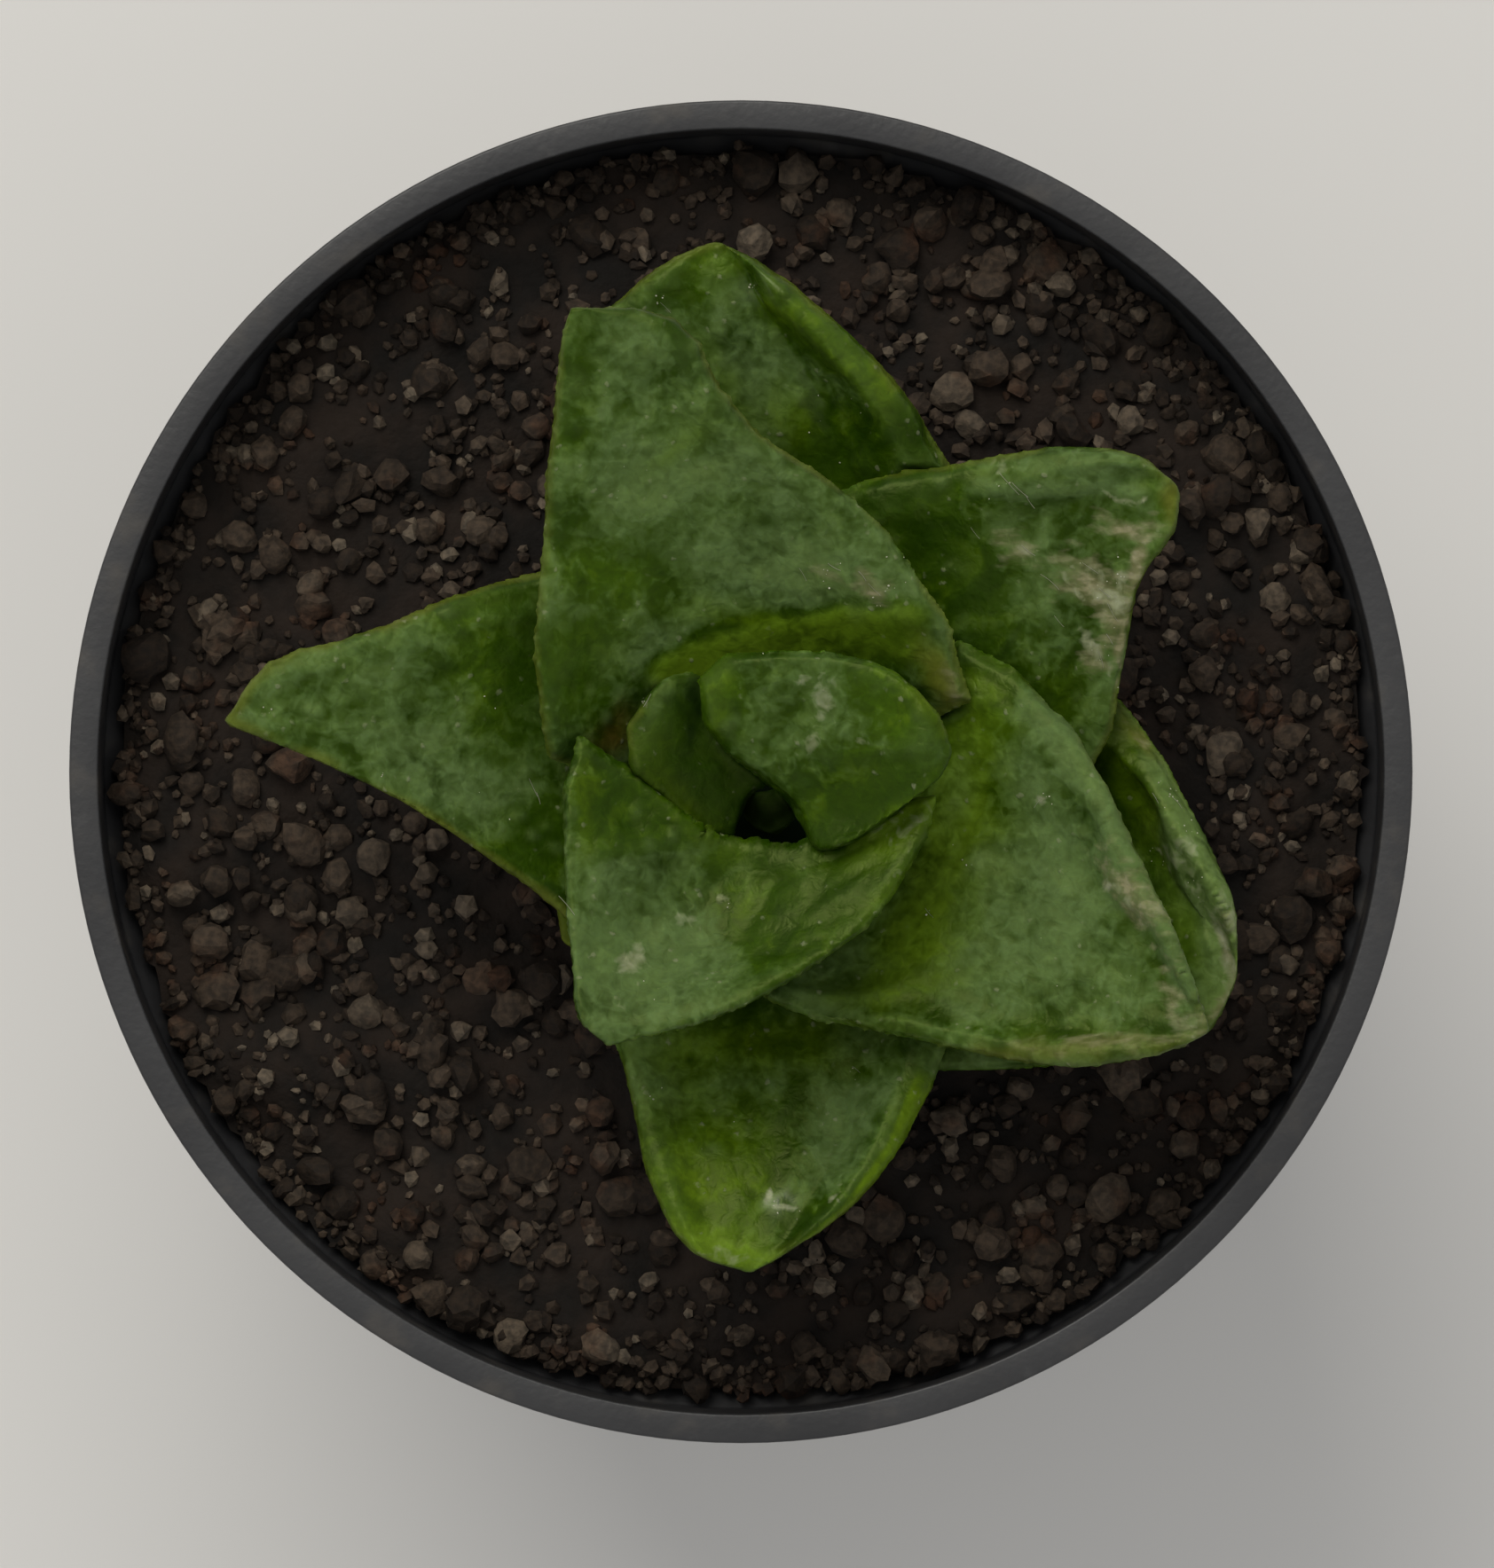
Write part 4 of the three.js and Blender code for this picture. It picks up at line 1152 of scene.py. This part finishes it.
# Strands: the photograph's x and y of the middle, length in mm, direction in degrees
lintStrands = [
    (1138, 545, 1.2, -48), (1150, 552, 0.9, -42), (1162, 566, 0.6, -55), (1185, 655, 1.0, -40),
    (1160, 620, 0.7, -38), (1255, 690, 0.9, -60), (1230, 640, 0.8, -35), (1246, 668, 0.6, -42),
    (1242, 742, 0.8, -70), (1252, 720, 0.5, -58), (1195, 700, 0.6, -50), (1100, 600, 0.6, -52),
    (985, 665, 0.7, -45), (972, 650, 0.5, -52), (905, 648, 0.6, -60), (940, 640, 0.6, -30),
    (640, 1020, 1.0, -50), (600, 888, 0.8, -65), (606, 900, 0.5, -72), (730, 790, 0.6, 60),
    (1048, 1030, 0.5, -50), (1170, 905, 0.5, 55), (750, 345, 0.6, -45), (1305, 900, 0.5, -60),
    (1330, 905, 0.6, -50), (966, 1208, 0.4, -40),
]

# Pale specks, partly dust and partly painted glints: the photograph's x and y, how many, how far they are
# strewn in mm
dustAndGlintSpots = [
    (850, 320, 5, 0.25), (740, 335, 5, 0.35), (1308, 880, 3, 0.2), (1322, 905, 7, 0.5),
    (1340, 935, 5, 0.4), (1355, 1000, 4, 0.5), (1308, 968, 5, 0.4), (430, 873, 3, 0.15),
    (300, 800, 3, 0.5), (862, 738, 2, 0.1), (725, 790, 4, 0.3), (1130, 535, 5, 0.7),
    (1240, 650, 9, 1.3), (1250, 740, 7, 0.9), (1180, 900, 4, 0.4), (1095, 968, 4, 0.5),
    (1050, 1030, 2, 0.2), (820, 1018, 2, 0.15), (962, 1210, 3, 0.25), (872, 1362, 4, 0.35),
    (900, 1372, 2, 0.3), (990, 668, 7, 0.7), (930, 650, 6, 0.9), (700, 540, 4, 1.5),
    (520, 800, 2, 2.2), (560, 900, 2, 1.6), (1180, 1050, 3, 2.4), (800, 1250, 2, 1.8),
    (930, 480, 6, 1.6), (760, 1120, 2, 1.2), (1000, 640, 3, 1.5), (730, 1240, 3, 0.5),
]
lintShape = {
    "points": 7,
    "radii": (0.006, 0.011),
    "bend": 0.05,
    "height": 0.03,  # of the strand's middle above the skin
    "droop": 0.25,  # how far its ends may hang down beside a margin
    "seed": 5,
    "above": 0.09,  # metres, higher than any leaf
    "colours": [(0.16, 0.165, 0.11), (0.3, 0.3, 0.22)],
}
dustAndGlintShape = {
    "sizes": (0.02, 0.055),
    "tones": (0.2, 1.0),
    "cuts": 1,
    "seed": 21,
    "colours": [(0.16, 0.17, 0.09), (0.56, 0.56, 0.42)],
}


def topOfLeaves(x, y):
    best = None
    for tree in bladeTrees:
        hit = tree.ray_cast(Vector((x, y, lintShape["above"])), Vector((0, 0, -1)))[0]
        if hit and (best is None or hit.z > best.z):
            best = hit
    return best


def lintNodes(tree):
    fine = noise(tree, 0.3, 2)
    return {"Base Color": mix(fine, *lintShape["colours"]), "Roughness": 0.5 + fine * 0.2}


def dustAndGlintNodes(tree):
    colour = mix(attribute(tree, "tone"), *dustAndGlintShape["colours"])
    return {"Base Color": colour, "Roughness": 0.3 + noise(tree, 0.1, 2) * 0.2}


def makeLint():
    shape = lintShape
    draw = random.Random(shape["seed"])
    strands = []
    for x, y, length, direction in lintStrands:
        middle = atPixel(x, y)
        angle = math.radians(direction)
        ahead = Vector((math.cos(angle), math.sin(angle)))
        side = Vector((-ahead.y, ahead.x))
        bend = draw.uniform(-shape["bend"], shape["bend"])
        path = []
        for step in range(shape["points"]):
            share = step / (shape["points"] - 1) - 0.5
            spot = middle + (ahead * share + side * bend * (4 * share * share - 0.5)) * length * mm
            hit = topOfLeaves(*spot)
            if hit:
                path.append(hit + Vector((0, 0, shape["height"] * mm)))
        if len(path) <= shape["points"] / 2:
            continue
        top = max(place.z for place in path)
        for place in path:
            place.z = max(place.z, top - shape["droop"] * mm)
        curve = bpy.data.curves.new("strand", "CURVE")
        curve.dimensions = "3D"
        curve.bevel_depth = draw.uniform(*shape["radii"]) * mm
        curve.bevel_resolution = 0
        curve.use_fill_caps = True
        spline = curve.splines.new("POLY")
        spline.points.add(len(path) - 1)
        for point, place in zip(spline.points, path):
            point.co = (*place, 1)
        pick(newObject("strand", curve))
        bpy.ops.object.convert(target="MESH")
        strands.append(bpy.context.object)
    piece = joinAll("lintStrands", strands)
    coat(piece, newMaterial("lint", lintNodes, Specular_IOR_Level=0.4))
    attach(piece, "root")


def makeDustAndGlints():
    kinds = [
        {**dustAndGlintShape, "count": count, "middle": atPixel(x, y), "spread": spread}
        for x, y, count, spread in dustAndGlintSpots]

    def onLeaf(draw, kind, size):
        shift = Vector((draw.gauss(0, 0.5), draw.gauss(0, 0.5))) * kind["spread"] * mm
        hit = topOfLeaves(*(kind["middle"] + shift))
        return hit and hit + Vector((0, 0, 0.3 * size * mm))

    piece = strew("dustAndGlintSpecks", kinds, dustAndGlintShape["seed"], onLeaf)
    # The pale specks are partly dust and partly painted glints where the skin shines
    coat(piece, newMaterial("dust", dustAndGlintNodes, Specular_IOR_Level=0.5))
    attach(piece, "root")


bladeTrees = [BVHTree.FromObject(piece, bpy.context.evaluated_depsgraph_get()) for piece in blades]
makeLint()
makeDustAndGlints()
print("lint and dust done")


# Floor, light and camera

# Sizes in metres and power in watts, but the height of the leaves and the sensor in mm
studio = {
    "floorSize": 3.0,
    "floorColour": (0.62, 0.61, 0.59),
    "sky": 0.66,
    "distance": 0.6,
    "leafPlane": 55,
    "sensor": 36,
    "lampPlace": (-0.12, 0.32, 0.46),
    "lampSize": 0.32,
    "lampPower": 2.0,
    "lampColour": (1.0, 0.97, 0.9),
}


def floorNodes(tree):
    broad = noise(tree, 40, 3)
    pale = studio["floorColour"]
    colour = mix(broad, pale, tuple(part * 0.96 for part in pale))
    return {"Base Color": colour, "Roughness": 0.7 + broad * 0.1}


def makeStudio():
    deselectAll()
    bpy.ops.mesh.primitive_plane_add(size=studio["floorSize"])
    floor = bpy.context.object
    floor.name = "floor"
    coat(floor, newMaterial("paleFloor", floorNodes, Specular_IOR_Level=0.2))

    world = bpy.data.worlds.new("studio")
    world.use_nodes = True
    sky = world.node_tree.nodes["Background"]
    sky.inputs["Color"].default_value = (1, 1, 1, 1)
    sky.inputs["Strength"].default_value = studio["sky"]
    bpy.context.scene.world = world

    lamp = bpy.data.lights.new("key", "AREA")
    lamp.size = studio["lampSize"]
    lamp.energy = studio["lampPower"]
    lamp.color = studio["lampColour"]
    light = newObject("key", lamp)
    light.location = studio["lampPlace"]
    aim = Vector((growthAxis.x, growthAxis.y, studio["leafPlane"] * mm))
    light.rotation_euler = (aim - light.location).to_track_quat("-Z", "Y").to_euler()

    centre = atPixel(photo["width"] / 2, photo["height"] / 2)
    camera = bpy.data.cameras.new("camera")
    camera.sensor_width = studio["sensor"]
    camera.clip_start = 0.01
    tall = photo["height"] / photo["pixelsPerMm"] * mm
    camera.lens = studio["sensor"] * studio["distance"] / tall
    eye = newObject("camera", camera)
    eye.location = (centre.x, centre.y, studio["leafPlane"] * mm + studio["distance"])
    bpy.context.scene.camera = eye
    bpy.context.scene.view_settings.view_transform = "Standard"


makeStudio()
print("studio done")
